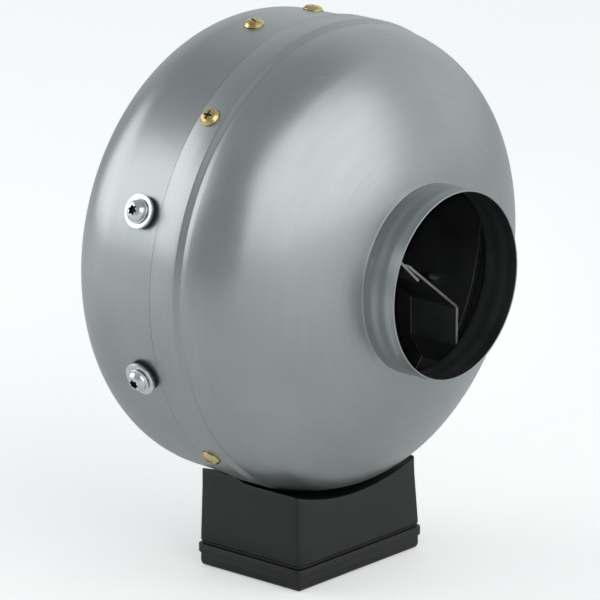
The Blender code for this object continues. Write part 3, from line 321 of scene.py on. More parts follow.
def build_spun_marks():
    """Rings about the fan's axis: the noise hardly changes round the axis, and quickly across it."""
    tree, given, end = group("spun marks", "ShaderNodeTree",
                             [("Center", VECTOR, None), ("Spacing", FLOAT, 0.0008), ("Round", FLOAT, 3)],
                             [("Value", FLOAT)])
    place = node(tree, "ShaderNodeTexCoord").outputs["Object"]
    away = node(tree, "ShaderNodeVectorMath", {0: place, 1: given["Center"]}, operation="SUBTRACT")
    flat = node(tree, "ShaderNodeVectorMath", {0: away.outputs[0], 1: (1, 0, 1)}, operation="MULTIPLY")
    length = node(tree, "ShaderNodeVectorMath", {0: flat.outputs[0]}, operation="LENGTH")
    radius = length.outputs["Value"]
    turn = node(tree, "ShaderNodeVectorMath", {0: flat.outputs[0]}, operation="NORMALIZE")
    turn = node(tree, "ShaderNodeVectorMath", {0: turn.outputs[0], "Scale": given["Round"]},
                operation="SCALE")
    along = node(tree, "ShaderNodeSeparateXYZ", {0: away.outputs[0]}).outputs["Y"]
    across = calc(tree, "DIVIDE", calc(tree, "SUBTRACT", radius, along), given["Spacing"])
    turn = node(tree, "ShaderNodeSeparateXYZ", {0: turn.outputs[0]})
    spot = node(tree, "ShaderNodeCombineXYZ", {"X": turn.outputs["X"], "Y": across,
                                               "Z": turn.outputs["Z"]})
    noise = node(tree, "ShaderNodeTexNoise", {"Vector": spot.outputs[0], "Scale": 1, "Detail": 4})
    tree.links.new(noise.outputs[0], end.inputs["Value"])
    return tree


def build_scuffs():
    """Short rubs: thin streaks, kept only where a coarse noise is high."""
    tree, given, end = group("scuffs", "ShaderNodeTree",
                             [("Size", FLOAT, 0.03), ("Amount", FLOAT, 0.3)], [("Mask", FLOAT)])
    place = node(tree, "ShaderNodeTexCoord").outputs["Object"]
    coarse = node(tree, "ShaderNodeTexNoise", {"Vector": place, "Detail": 1,
                                               "Scale": calc(tree, "DIVIDE", 1, given["Size"])})
    slant = node(tree, "ShaderNodeMapping", {"Vector": place, "Rotation": (0.4, 0.9, 0.3),
                                             "Scale": (120, 900, 260)})
    streaks = node(tree, "ShaderNodeTexNoise", {"Vector": slant.outputs[0], "Scale": 1, "Detail": 2})
    start = calc(tree, "SUBTRACT", 0.86, calc(tree, "MULTIPLY", given["Amount"], 0.3))
    spots = node(tree, "ShaderNodeMapRange", {"Value": coarse.outputs[0], "From Min": start,
                                              "From Max": calc(tree, "ADD", start, 0.05)})
    lines = node(tree, "ShaderNodeMapRange", {"Value": streaks.outputs[0], "From Min": 0.55,
                                              "From Max": 0.68})
    tree.links.new(calc(tree, "MULTIPLY", spots.outputs[0], lines.outputs[0]), end.inputs["Mask"])
    return tree


patches, spun_marks, scuffs = build_patches(), build_spun_marks(), build_scuffs()
print("shared effects:", patches.name, spun_marks.name, scuffs.name)

# %% [markdown]
# ## Finishes
#
# One helper makes a finish whose colour and gloss drift between two values, with a fine bump for
# the grain of a moulding, a casting or a coat of paint. Most finishes are this helper with their
# own values. Those of the casing, the yellow zinc, the windings and the stacked core have
# something more, so they add their own nodes after it.

# %% The common finish
def use(tree, shared, **inputs):
    """Places a shared effect in a material with its own values."""
    made = node(tree, "ShaderNodeGroup", node_tree=shared)
    for key, value in inputs.items():
        made.inputs[key].default_value = value
    return made.outputs[0]


def blend_colors(tree, factor, low, high):
    mix = node(tree, "ShaderNodeMix", data_type="RGBA")
    for socket, value in zip((mix.inputs[0], mix.inputs[6], mix.inputs[7]), (factor, low, high)):
        if isinstance(value, bpy.types.NodeSocket):
            tree.links.new(value, socket)
        else:
            socket.default_value = (*value, 1) if len(value) == 3 else value
    return mix.outputs[2]


def spread(tree, value, low, high):
    """Maps the middle of a noise, 0.3 to 0.7, to low and high."""
    return node(tree, "ShaderNodeMapRange", {"Value": value, "From Min": 0.3, "From Max": 0.7,
                                             "To Min": low, "To Max": high}).outputs[0]


def bump(tree, height, distance, normal=None):
    made = node(tree, "ShaderNodeBump", {"Height": height, "Distance": distance, "Strength": 1})
    if normal:
        tree.links.new(normal, made.inputs["Normal"])
    return made.outputs["Normal"]


def finish(name, colors, gloss, metallic=0.0, patch=0.02, grain=0.0006, depth=0.00002):
    """A finish; gives the material, its tree and its shader, for nodes that are added to it."""
    material = bpy.data.materials.new(name)
    material.use_nodes = True
    tree = material.node_tree
    shader = tree.nodes["Principled BSDF"]
    clouds = use(tree, patches, Size=patch, Detail=3)
    tree.links.new(blend_colors(tree, spread(tree, clouds, 0, 1), *colors), shader.inputs["Base Color"])
    tree.links.new(spread(tree, clouds, *gloss), shader.inputs["Roughness"])
    shader.inputs["Metallic"].default_value = metallic
    fine = use(tree, patches, Size=grain, Detail=4)
    tree.links.new(bump(tree, fine, depth), shader.inputs["Normal"])
    return material, tree, shader


# %% The casing's silver
axis_point = Vector(frame["joints"][0]["pos_m"])


def build_casing_silver():
    """Silver lacquer on pressed sheet: fine flakes, faint spun marks, soft smears and a few rubs."""
    material, tree, shader = finish("casing silver",
                                    ((0.355, 0.382, 0.388), (0.405, 0.43, 0.435)), (0.27, 0.36),
                                    metallic=0.94, patch=0.045, grain=0.0005, depth=0.000012)
    base = shader.inputs["Base Color"].links[0].from_socket
    flakes = use(tree, patches, Size=0.00035, Detail=2)
    flaky = blend_colors(tree, spread(tree, flakes, 0, 0.22), base, (0.56, 0.58, 0.585))
    marks = use(tree, spun_marks, Center=axis_point, Spacing=0.0012, Round=2.2)
    marked = blend_colors(tree, spread(tree, marks, 0, 0.16), flaky, (0.29, 0.315, 0.32))
    rubs = use(tree, scuffs, Size=0.018, Amount=0.36)
    rubbed = blend_colors(tree, calc(tree, "MULTIPLY", rubs, 0.35), marked, (0.68, 0.69, 0.69))
    tree.links.new(rubbed, shader.inputs["Base Color"])
    smears = use(tree, patches, Size=0.09, Detail=2)
    gloss = calc(tree, "ADD", spread(tree, smears, 0.31, 0.37), spread(tree, marks, -0.02, 0.025))
    gloss = calc(tree, "ADD", gloss, calc(tree, "MULTIPLY", rubs, 0.12))
    tree.links.new(gloss, shader.inputs["Roughness"])
    dents = use(tree, patches, Size=0.03, Detail=1)
    rolled = bump(tree, dents, 0.00022)
    peel = bump(tree, marks, 0.000012, rolled)
    tree.links.new(bump(tree, flakes, 0.000006, peel), shader.inputs["Normal"])
    return material


silver = build_casing_silver()

# %% Finishes of the other metals
inner_black = finish("inner black", ((0.014, 0.0155, 0.016), (0.021, 0.023, 0.024)), (0.48, 0.58),
                     patch=0.02, grain=0.0007, depth=0.000002)[0]
sheet_dark = finish("sheet dark", ((0.045, 0.05, 0.05), (0.07, 0.075, 0.075)), (0.38, 0.52),
                    metallic=0.2, patch=0.012)[0]
cut_steel = finish("cut steel", ((0.78, 0.80, 0.80), (0.90, 0.91, 0.91)), (0.34, 0.46), metallic=0.3,
                   patch=0.003, grain=0.0004, depth=0.00003)[0]
galvanised = finish("galvanised", ((0.30, 0.32, 0.33), (0.50, 0.52, 0.53)), (0.32, 0.5), metallic=0.9,
                    patch=0.009, grain=0.0008)[0]
zinc = finish("bright zinc", ((0.60, 0.64, 0.68), (0.78, 0.80, 0.82)), (0.14, 0.26), metallic=1.0,
              patch=0.004, grain=0.0003, depth=0.000008)[0]
rotor_black = finish("rotor black", ((0.014, 0.014, 0.015), (0.026, 0.026, 0.027)), (0.26, 0.38),
                     metallic=0.3, patch=0.02, grain=0.0009, depth=0.00003)[0]
cast_aluminium = finish("cast aluminium", ((0.42, 0.43, 0.44), (0.56, 0.57, 0.58)), (0.4, 0.55),
                        metallic=0.9, patch=0.006, grain=0.0005, depth=0.00005)[0]
ground_steel = finish("ground steel", ((0.50, 0.51, 0.53), (0.66, 0.67, 0.69)), (0.12, 0.22),
                      metallic=1.0, patch=0.003, grain=0.0002, depth=0.000006)[0]


def build_yellow_zinc():
    """Passivated zinc: straw yellow that runs to olive and copper where the film is thicker."""
    material, tree, shader = finish("yellow zinc",
                                    ((0.60, 0.47, 0.18), (0.66, 0.60, 0.30)), (0.18, 0.30),
                                    metallic=1.0, patch=0.004, grain=0.0003, depth=0.000008)
    base = shader.inputs["Base Color"].links[0].from_socket
    film = use(tree, patches, Size=0.0055, Detail=1)
    coppery = blend_colors(tree, spread(tree, film, -0.9, 0.85), base, (0.48, 0.19, 0.10))
    other = use(tree, patches, Size=0.0035, Detail=1)
    tree.links.new(blend_colors(tree, spread(tree, other, -0.8, 0.5), coppery, (0.38, 0.42, 0.20)),
                   shader.inputs["Base Color"])
    return material


def build_striped(name, colors, gloss, metallic, pitch, depth):
    """Thin layers or turns, stacked along the fan's axis."""
    material, tree, shader = finish(name, colors, gloss, metallic=metallic, patch=0.01)
    place = node(tree, "ShaderNodeTexCoord").outputs["Object"]
    wave = node(tree, "ShaderNodeTexWave", {"Vector": place, "Scale": 1 / pitch / pi, "Distortion": 0.3},
                bands_direction="Y")
    tree.links.new(bump(tree, wave.outputs[1], depth), shader.inputs["Normal"])
    return material


yellow_zinc = build_yellow_zinc()
# Painted shade: zinc made near black for the motor screws, whose heads lie in shade deep in the outlet.
zinc_dark_for_shade = finish("zinc dark for shade", ((0.030, 0.031, 0.032), (0.055, 0.056, 0.058)), (0.35, 0.5),
                    metallic=0.5, patch=0.003, grain=0.0003, depth=0.000008)[0]
# Painted shade for screw recesses and shanks: a near-black version of the zinc.
painted_shade_dark = finish("painted shade dark", ((0.02, 0.02, 0.021), (0.05, 0.05, 0.052)), (0.35, 0.5),
                     metallic=0.6, patch=0.002, grain=0.0003)[0]
laminations = build_striped("stacked laminations", ((0.16, 0.15, 0.15), (0.26, 0.25, 0.24)),
                            (0.4, 0.55), 0.85, 0.0005, 0.00008)
winding = build_striped("copper winding", ((0.50, 0.17, 0.06), (0.66, 0.27, 0.11)), (0.25, 0.4), 0.9,
                        0.0006, 0.0002)

# %% Finishes of the plastics and rubbers
box_black = finish("box black", ((0.0058, 0.0062, 0.0064), (0.0078, 0.0082, 0.0084)), (0.40, 0.50),
                   patch=0.03, grain=0.00045, depth=0.00003)[0]
gland_black = finish("gland black", ((0.016, 0.016, 0.017), (0.024, 0.024, 0.025)), (0.36, 0.46),
                     patch=0.008, grain=0.0004)[0]
wheel_grey = finish("wheel grey", ((0.010, 0.011, 0.012), (0.016, 0.0175, 0.019)), (0.38, 0.5),
                    patch=0.02, grain=0.0006, depth=0.00003)[0]
washer_rubber = finish("washer rubber", ((0.010, 0.010, 0.010), (0.018, 0.018, 0.018)), (0.7, 0.85),
                       patch=0.004, grain=0.0003, depth=0.00004)[0]
lead_sheath = finish("lead sheath", ((0.013, 0.013, 0.013), (0.020, 0.020, 0.020)), (0.45, 0.6),
                     patch=0.006, grain=0.0005)[0]
terminal_grey = finish("terminal grey", ((0.46, 0.47, 0.45), (0.54, 0.55, 0.53)), (0.4, 0.5),
                       patch=0.01)[0]
capacitor_grey = finish("capacitor grey", ((0.55, 0.56, 0.55), (0.62, 0.63, 0.62)), (0.25, 0.35),
                        patch=0.02)[0]
print("finishes:", len(bpy.data.materials))

# %% [markdown]
# ## The casing
#
# Each half is drawn from one disc of sheet: a wall, a tight shoulder, a flatter crown, a small
# fillet, and a spigot with two shallow swells that grip the duct. The outlet half ends in a
# stepped-out band that slips over the inlet half. The whole profile follows a rule of arcs, so
# it is worked out as a line, given its thickness, and turned. The inside is a second finish on
# the same mesh, because the halves are black inside.

# %% Casing sizes
SHEET = 0.0008
CLEAR = 0.0003
SPIGOT_RADIUS = 0.0492
SPIGOT_SWELL = 0.00024
NECK_FILLET = 0.0004
JOGGLE_LENGTH = 0.0023
JOGGLE_DEPTH = 0.0017
SHOULDER = {"outlet": (0.0387, 48.2, 0.125), "inlet": (0.040, 47.0, 0.095)}
INLET_WALL_LENGTH = 0.047
INLET_WALL_TAPER = 0.0008

outlet_low, outlet_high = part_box("outlet_shell")
inlet_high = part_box("inlet_shell")[1]
BAND_RADIUS = (outlet_high.x - outlet_low.x) / 2
BAND_WIDTH = outlet_high.y - axis_point.y
OUTLET_DEPTH = axis_point.y - outlet_low.y
INLET_DEPTH = inlet_high.y - axis_point.y
OUTLET_WALL_RADIUS = BAND_RADIUS - JOGGLE_DEPTH
INLET_WALL_RADIUS = BAND_RADIUS - SHEET - CLEAR
FAN_FRAME = Matrix.Translation(axis_point) @ Matrix.Rotation(-pi / 2, 4, "X")
print(f"band radius {BAND_RADIUS * 1000:.1f} mm, rims {OUTLET_DEPTH * 1000:.1f} and "
      f"{INLET_DEPTH * 1000:.1f} mm from the joint")


# %% Casing lines
def crown_center(wall_end, shoulder, turn, crown):
    """Center of the crown's arc, which runs on smoothly from the shoulder's arc."""
    reach = shoulder - crown
    return (wall_end[0] - shoulder + reach * cos(radians(turn)),
            wall_end[1] + reach * sin(radians(turn)))


def swell(share):
    """Two soft swells along the spigot, for a share of its length from 0 to 1."""
    lift = -0.35
    for middle, reach in ((0.25, 0.22), (0.70, 0.22)):
        if abs(share - middle) < reach:
            lift += 1.35 * cos(pi * (share - middle) / reach / 2) ** 2
    return lift


def dome_line(wall_end, sizes, depth, steps=26):
    """From the end of the wall, over shoulder and crown, to the rim, as (radius, distance)."""
    shoulder, turn, crown = sizes
    line = arc((wall_end[0] - shoulder, wall_end[1]), shoulder, 0, turn, steps)
    center = crown_center(wall_end, shoulder, turn, crown)
    neck = degrees(acos((SPIGOT_RADIUS + NECK_FILLET - center[0]) / (crown + NECK_FILLET)))
    line += arc(center, crown, turn, neck, steps)[1:]
    fillet = arc(center, crown + NECK_FILLET, neck, neck, 1)[0]
    line += arc(fillet, NECK_FILLET, 180 + neck, 180, 8)[1:]
    length = depth - fillet[1]
    return line + [(SPIGOT_RADIUS + SPIGOT_SWELL * swell(k / steps), fillet[1] + length * k / steps)
                   for k in range(1, steps + 1)]


def build_outlet_half():
    dome = dome_line((OUTLET_WALL_RADIUS, JOGGLE_LENGTH), SHOULDER["outlet"], OUTLET_DEPTH)
    band = [(BAND_RADIUS, -BAND_WIDTH), (BAND_RADIUS, -0.0004, 0.0016),
            (OUTLET_WALL_RADIUS - 0.00025, JOGGLE_LENGTH, 0.0016)]
    line = rounded(band + dome[2:3], closed=False, steps=6)[:-1] + dome[2:]
    loop, sides = sheet_loop([(radius, -along) for radius, along in line], -SHEET)
    # The band's cut edge gets the inner black: painted shade, a dark hairline standing in for the shadow in
    # the seam's gap.
    sides[-EDGE_STEPS:] = [1] * EDGE_STEPS      # the band's cut edge, for a dark line at the seam
    return turned("casing_outlet", loop, FAN_FRAME, 224, sides)


def build_inlet_half():
    wall_end = (INLET_WALL_RADIUS - INLET_WALL_TAPER, INLET_WALL_LENGTH)
    line = [(INLET_WALL_RADIUS, JOGGLE_LENGTH), (INLET_WALL_RADIUS, BAND_WIDTH)]
    line += dome_line(wall_end, SHOULDER["inlet"], INLET_DEPTH)
    loop, sides = sheet_loop(line, SHEET)
    return turned("casing_inlet", loop, FAN_FRAME, 224, sides)


wear(build_outlet_half(), "housing", [silver, inner_black], "outlet_shell", slot="casing")
wear(build_inlet_half(), "housing", [silver, inner_black], "inlet_shell", slot="casing")

# %% [markdown]
# ## The inlet's bellmouth
#
# Air has to turn into the wheel's eye without tearing off, so a pressed ring with a wide radius
# leads it in. Its flange lies against the inside of the crown, and its throat reaches into the
# wheel. It is turned from a line, as the casing is.

# %% Bellmouth
BELL_SHEET = 0.001
BELL_RADIUS = 0.012
BELL_TIP = 0.0755
THROAT_RADIUS = 0.0512
BELL_FLANGE_RADIUS = 0.076


def build_bellmouth():
    wall_end = (INLET_WALL_RADIUS - INLET_WALL_TAPER, INLET_WALL_LENGTH)
    center = crown_center(wall_end, *SHOULDER["inlet"])
    face = SHOULDER["inlet"][2] - SHEET - 2 * CLEAR
    flange_turn = degrees(acos((BELL_FLANGE_RADIUS - center[0]) / face))
    reach = face - BELL_RADIUS
    bell_turn = degrees(acos((THROAT_RADIUS + BELL_RADIUS - center[0]) / reach))
    bell = arc(center, reach, bell_turn, bell_turn, 1)[0]
    line = arc(center, face, flange_turn, bell_turn, 8)
    line += arc(bell, BELL_RADIUS, bell_turn, 180, 18)[1:] + [(THROAT_RADIUS, BELL_TIP)]
    return turned("inlet_bellmouth", sheet_loop(line, BELL_SHEET)[0], FAN_FRAME, 144)


wear(build_bellmouth(), "housing", [galvanised], "inlet_nozzle", slot="galvanised_sheet")

# %% [markdown]
# ## The motor's support
#
# A round plate carries the motor. Four wings are folded from it towards the outlet, and a folded
# leg runs from each wing to the band, where a screw holds its foot. Through the outlet one sees
# the cut edges of this sheet as pale lines, while its faces stay dark, so the edges and the
# faces get two finishes. Sheet can't fold to a sharp corner, so each fold is rounded first.

# %% Support sizes
PLATE_FACE = 0.018
PLATE_THICKNESS = 0.0016
PLATE_RADIUS = 0.044
MOTOR_HOLE_RADIUS = 0.015
STRIP = 0.0015
SUPPORT_FRONT = -0.014
WING_START, WING_END = (0.0330, 0.0054), (0.0511, 0.0221)
LEG_BEND = (0.083, 0.0436)
LEG_WALL_Z = 0.064
LEG_LAP = 0.0115
FOOT_HALF_ANGLE = 5.5
FOOT_WIDTH = 0.0145
BAND_SCREW_ANGLE = 46.5
BAND_SCREW_PLACE = 0.0093
FOLD = 0.0022
QUADRANTS = ((1, 1), (-1, 1), (-1, -1), (1, -1))


# %% Folded strips
def strip(name, line, spans, thickness=STRIP, steps=4):
    """Sheet that stands on edge along a line; spans gives its two places along the axis.

    The two long edges are sheared, so they are rounded, and have the second finish.
    """
    left, right = (offset_line(line, thickness / 2), offset_line(line, -thickness / 2))
    turns = [pi * k / steps for k in range(steps + 1)]
    rings = []
    for a, b, (start, end) in zip(left, right, spans):
        middle, half = (Vector(a) + Vector(b)) / 2, (Vector(a) - Vector(b)) / 2
        section = [(cos(t), start + thickness / 2 * (1 - sin(t))) for t in turns]
        section += [(-cos(t), end - thickness / 2 * (1 - sin(t))) for t in turns]
        spots = [(middle + half * across, along) for across, along in section]
        rings.append([(spot.x, axis_point.y + along, axis_point.z + spot.y) for spot, along in spots])
    finishes = ([1] * steps + [0]) * 2 * (len(rings) - 1) + [1, 1]
    return lofted(name, rings, finishes, smooth_angle=50)


def build_leg(side, up):
    start, end = Vector(WING_START), Vector(WING_END)
    along = (end - start).normalized()
    away = Vector((along.y, -along.x))
    lap = end - along * LEG_LAP + away * (STRIP + CLEAR)
    foot_radius = INLET_WALL_RADIUS - SHEET - 2 * CLEAR - STRIP / 2
    turns = [radians(BAND_SCREW_ANGLE + share * FOOT_HALF_ANGLE / 4) for share in range(-4, 5)]
    foot = [(foot_radius * cos(t), foot_radius * sin(t)) for t in turns]
    arm = rounded([tuple(lap), (*LEG_BEND, FOLD), (LEG_BEND[0], LEG_WALL_Z, FOLD), foot[0]],
                  closed=False)
    line = [(side * x, up * z) for x, z in arm[:-1] + foot]
    wide, narrow = (SUPPORT_FRONT, PLATE_FACE), (BAND_SCREW_PLACE - FOOT_WIDTH / 2,
                                                 BAND_SCREW_PLACE + FOOT_WIDTH / 2)
    spans = [wide] * (len(arm) - 1) + [narrow] * len(foot)
    return strip("leg", line, spans)


def build_plate():
    edge = 0.0003
    far = PLATE_FACE - PLATE_THICKNESS
    profile = rounded([(MOTOR_HOLE_RADIUS, far, edge), (PLATE_RADIUS, far, edge),
                       (PLATE_RADIUS, PLATE_FACE, edge), (MOTOR_HOLE_RADIUS, PLATE_FACE, edge)])
    pieces = [turned("plate", profile, FAN_FRAME, 96)]
    for side, up in QUADRANTS:
        line = [(side * x, up * z) for x, z in (WING_START, WING_END)]
        pieces.append(strip("wing", line, [(SUPPORT_FRONT, PLATE_FACE - PLATE_THICKNESS / 2)] * 2))
    return joined("motor_support", pieces)


legs = joined("support_legs", [build_leg(side, up) for side, up in QUADRANTS])
wear(legs, "housing", [sheet_dark, cut_steel], *[f"bracket_leg_{k}" for k in range(1, 5)],
     slot="galvanised_sheet")
wear(build_plate(), "housing", [sheet_dark, cut_steel], "motor_plate", slot="galvanised_sheet")

# %% [markdown]
# ## Fasteners
#
# A screw is a turned body with a recess cut into its head. Each kind is made once, standing at
# the origin with its head up. A Geometry Nodes tree then sets a copy on every seat. A seat is a
# single vertex that carries the direction away from the surface, and a seeded random turn
# leaves each recess at its own angle, as an assembler's driver does.

# %% Screw shapes
def cross_cutter(reach, width, top, floor):
    """A cross that narrows towards its floor."""
    outline = []
    for k in range(4):
        turn = k * pi / 2
        for a, b in ((reach, -width / 2), (reach, width / 2), (width / 2, width / 2)):
            outline.append((a * cos(turn) - b * sin(turn), a * sin(turn) + b * cos(turn)))
    rings = [[(x, y, top) for x, y in outline], [(x * 0.45, y * 0.45, floor) for x, y in outline]]
    return lofted("cross", rings)


def star_cutter(reach, top, floor):
    """Six soft lobes with straight walls and a cone at the floor."""
    outline = [(reach * (0.86 + 0.14 * cos(6 * t)) * cos(t), reach * (0.86 + 0.14 * cos(6 * t)) * sin(t))
               for t in np.arange(60) * (2 * pi / 60)]
    rings = [[(x * s, y * s, z) for x, y in outline]
             for s, z in ((1, top), (1, floor), (0.3, floor - 0.0006))]
    return lofted("star", rings)


def build_pan_screw(name, radius, height, shank_radius, shank_length, flange=0.0, star=False):
    """A domed head above local Z = 0, with a plain shank below.

    The faces of the recess and of the shank's far half are marked for the dark finish, which is painted
    shade.
    """
    dome_foot = flange + height * 0.22
    shoulder = radius * (0.84 if flange else 1.0)
    profile = [(0, height), (shoulder * 0.42, height * 0.985), (shoulder * 0.74, height * 0.83, 0.001),
               (shoulder, dome_foot, 0.0004)]
    if flange:
        profile += [(shoulder + 0.0002, flange, 0.0001), (radius, flange * 0.8, 0.0003)]
    profile += [(radius, 0, 0.0002), (shank_radius, 0), (shank_radius, -shank_length, 0.0005),
                (0, -shank_length)]
    screw = turned(name, rounded(profile, steps=5), sides=48)
    reach = radius * (0.42 if star else 0.56)
    if star:
        cutter = star_cutter(reach, height * 2, height - 0.0022)
    else:
        cutter = cross_cutter(reach, radius * 0.19, height * 1.02, height - 0.0019)
    screw = carved(screw, [cutter])
    # Painted shade: the marked faces take the dark finish, in the recess and on the shank's far half.
    recess = screw.data.attributes.new("recess", "BOOLEAN", "FACE")
    inside = [face.center.xy.length < reach and 0 < face.center.z < height - 0.0005
              or face.center.z < -shank_length / 2 for face in screw.data.polygons]
    recess.data.foreach_set("value", inside)
    return screw


# %% The tree that sets fasteners on their seats
def build_setting_tree():
    tree, given, end = group("set on seats", "GeometryNodeTree",
                             [("Seats", "NodeSocketGeometry", None),
                              ("Fastener", "NodeSocketObject", None),
                              ("Turn Seed", "NodeSocketInt", 1), ("Finish", "NodeSocketMaterial", None),
                              ("Painted Shade Finish", "NodeSocketMaterial", None)],
                             [("Geometry", "NodeSocketGeometry")])
    piece = node(tree, "GeometryNodeObjectInfo", {"Object": given["Fastener"]}).outputs["Geometry"]
    away = node(tree, "GeometryNodeInputNamedAttribute", {"Name": "away"}, data_type="FLOAT_VECTOR")
    aligned = node(tree, "FunctionNodeAlignRotationToVector", {"Vector": away.outputs[0]}, axis="Z")
    placed = node(tree, "GeometryNodeInstanceOnPoints",
                  {"Points": given["Seats"], "Instance": piece, "Rotation": aligned.outputs[0]})
    chance = node(tree, "FunctionNodeRandomValue", {"Seed": given["Turn Seed"]}, data_type="FLOAT")
    chance.inputs[3].default_value = 2 * pi
    turn = node(tree, "ShaderNodeCombineXYZ", {"Z": chance.outputs[1]})
    turned_copies = node(tree, "GeometryNodeRotateInstances",
                         {"Instances": placed.outputs[0], "Rotation": turn.outputs[0]})
    real = node(tree, "GeometryNodeRealizeInstances", {0: turned_copies.outputs[0]})
    dressed = node(tree, "GeometryNodeSetMaterial", {"Geometry": real.outputs[0],
                                                     "Material": given["Finish"]})
    # Painted shade: the marked faces of recess and shank get the dark finish.
    recess = node(tree, "GeometryNodeInputNamedAttribute", {"Name": "recess"}, data_type="BOOLEAN")
    shaded = node(tree, "GeometryNodeSetMaterial", {"Geometry": dressed.outputs[0],
                                                    "Selection": recess.outputs[0],
                                                    "Material": given["Painted Shade Finish"]})
    tree.links.new(shaded.outputs[0], end.inputs[0])
    return tree


def grown(name, tree, mesh, values):
    """Runs a tree on a mesh and gives the result as a plain object with no modifier."""
    base = put(bpy.data.objects.new(name, mesh))
    modifier = base.modifiers.new("tree", "NODES")
    modifier.node_group = tree
    for label, value in values.items():
        modifier[tree.interface.items_tree[label].identifier] = value
    bpy.context.view_layer.update()
    graph = bpy.context.evaluated_depsgraph_get()
    result = bpy.data.meshes.new_from_object(base.evaluated_get(graph))
    base.modifiers.remove(modifier)
    base.data = result
    base.data.name = name
    return base


setting_tree = build_setting_tree()


def set_on_seats(name, fastener, seats, material, seed):
    """One mesh with a copy of the fastener on each seat, given as (point, direction away)."""
    mesh = bpy.data.meshes.new(name)
    mesh.from_pydata([tuple(point) for point, _ in seats], [], [])
    away = mesh.attributes.new("away", "FLOAT_VECTOR", "POINT")
    away.data.foreach_set("vector", [x for _, direction in seats for x in direction])
    piece = grown(name, setting_tree, mesh, {"Fastener": fastener, "Turn Seed": seed, "Finish": material,
                                               "Painted Shade Finish": painted_shade_dark})
    bpy.data.objects.remove(fastener, do_unlink=True)
    return piece


# %% Seats round the casing
def wall_radius_at(place):
    share = (place - BAND_WIDTH) / (INLET_WALL_LENGTH - BAND_WIDTH)
    return INLET_WALL_RADIUS - INLET_WALL_TAPER * max(share, 0)


def seat(angle, radius, place):
    """A seat at an angle round the fan's axis, in degrees from +X towards +Z."""
    away = Vector((cos(radians(angle)), 0, sin(radians(angle))))
    return axis_point + Vector((0, place, 0)) + away * radius, away


band_seats = [seat(angle, BAND_RADIUS, BAND_SCREW_PLACE)
              for angle in (BAND_SCREW_ANGLE, 180 - BAND_SCREW_ANGLE,
                            180 + BAND_SCREW_ANGLE, -BAND_SCREW_ANGLE)]
TOP_SCREWS = ((77.6, 0.037), (99.4, 0.037))
top_seats = [seat(angle, wall_radius_at(place), place) for angle, place in TOP_SCREWS]
SIDE_SCREW_ANGLE, SIDE_SCREW_PLACE = 20.6, 0.0285
side_angles = (180 - SIDE_SCREW_ANGLE, 180 + SIDE_SCREW_ANGLE, SIDE_SCREW_ANGLE, -SIDE_SCREW_ANGLE)
RUBBER, WASHER = (0.0086, 0.0016), (0.009, 0.0016)
side_wall = wall_radius_at(SIDE_SCREW_PLACE)

# %% Yellow screws
YELLOW_HEAD, YELLOW_SHANK = (0.0053, 0.0027), (0.0019, 0.0070)
screw = build_pan_screw("yellow_screws_shape", *YELLOW_HEAD, *YELLOW_SHANK)
names = [f"band_screw_{k}" for k in range(1, 5)] + ["top_screw_1", "top_screw_2"]
piece = set_on_seats("yellow_screws", screw, band_seats + top_seats, yellow_zinc, 5)
wear(piece, "housing", None, *names, slot="yellow_zinc")


# %% Bracket screws with their washers
def build_washer(name, bore, radius, thickness, edge):
    profile = rounded([(bore, 0, edge), (radius, 0, edge), (radius, thickness, edge),
                       (bore, thickness, edge)])
    return turned(name, profile, sides=64)


def side_seats(height):
    return [seat(angle, side_wall + CLEAR + height, SIDE_SCREW_PLACE) for angle in side_angles]


WASHER_BORE, BRACKET_HEAD, BRACKET_SHANK = 0.0034, (0.0065, 0.0044), (0.003, 0.0115)
numbers = range(1, 5)
rubber = build_washer("rubber_shape", WASHER_BORE, *RUBBER, 0.0005)
piece = set_on_seats("rubber_washers", rubber, side_seats(0), washer_rubber, 1)
wear(piece, "housing", None, *[f"side_rubber_{k}" for k in numbers], slot="black_rubber")
flat = build_washer("washer_shape", WASHER_BORE, *WASHER, 0.0004)
piece = set_on_seats("flat_washers", flat, side_seats(RUBBER[1] + CLEAR), zinc, 1)
wear(piece, "housing", None, *[f"side_washer_{k}" for k in numbers], slot="zinc")
screw = build_pan_screw("bracket_screw_shape", *BRACKET_HEAD, *BRACKET_SHANK, flange=0.0011, star=True)
piece = set_on_seats("bracket_screws", screw, side_seats(RUBBER[1] + WASHER[1] + 2 * CLEAR), zinc, 3)
wear(piece, "housing", None, *[f"side_screw_{k}" for k in numbers], slot="zinc")


# %% Small screws of the motor, the lid and the box
def node_center(name):
    low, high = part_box(name)
    return (low + high) / 2, low, high


PAN, PAN_SHANK = (0.0036, 0.0022), (0.0019, 0.0065)
screw = build_pan_screw("motor_screw_shape", *PAN, *PAN_SHANK)
seats = []
for k in range(1, 4):
    center, low, high = node_center(f"motor_screw_{k}")
    seats.append((Vector((center.x, low.y + PAN[1], center.z)), Vector((0, -1, 0))))
# The motor screws get the near-black zinc: painted shade, so their heads show no highlight in the dark of
# the outlet.
piece = set_on_seats("motor_screws", screw, seats, zinc_dark_for_shade, 7)
wear(piece, "housing", None, *[f"motor_screw_{k}" for k in range(1, 4)], slot="zinc")

LID_HEAD, LID_SHANK = (0.0032, 0.0016), (0.0015, 0.0120)
screw = build_pan_screw("lid_screw_shape", *LID_HEAD, *LID_SHANK)
lid_spots = [node_center(f"lid_screw_{k}") for k in range(1, 5)]
seats = [(Vector((center.x, center.y, low.z + LID_HEAD[1])), Vector((0, 0, -1)))
         for center, low, high in lid_spots]
piece = set_on_seats("lid_screws", screw, seats, zinc, 9)
wear(piece, "housing", None, *[f"lid_screw_{k}" for k in range(1, 5)], slot="zinc")

# %% [markdown]
# ## The terminal box
#
# The box is a thin moulding with upright corners, sides that lean in a little so that it leaves
# its mould, and a hollow top that follows the casing. Two hollows meet there: one hugs the inlet
# half, and one clears the outlet half's band. Rings of points run from the inside of the roof,
# down the inner wall, round the rim and up the outer wall, so the skin has its real thickness.

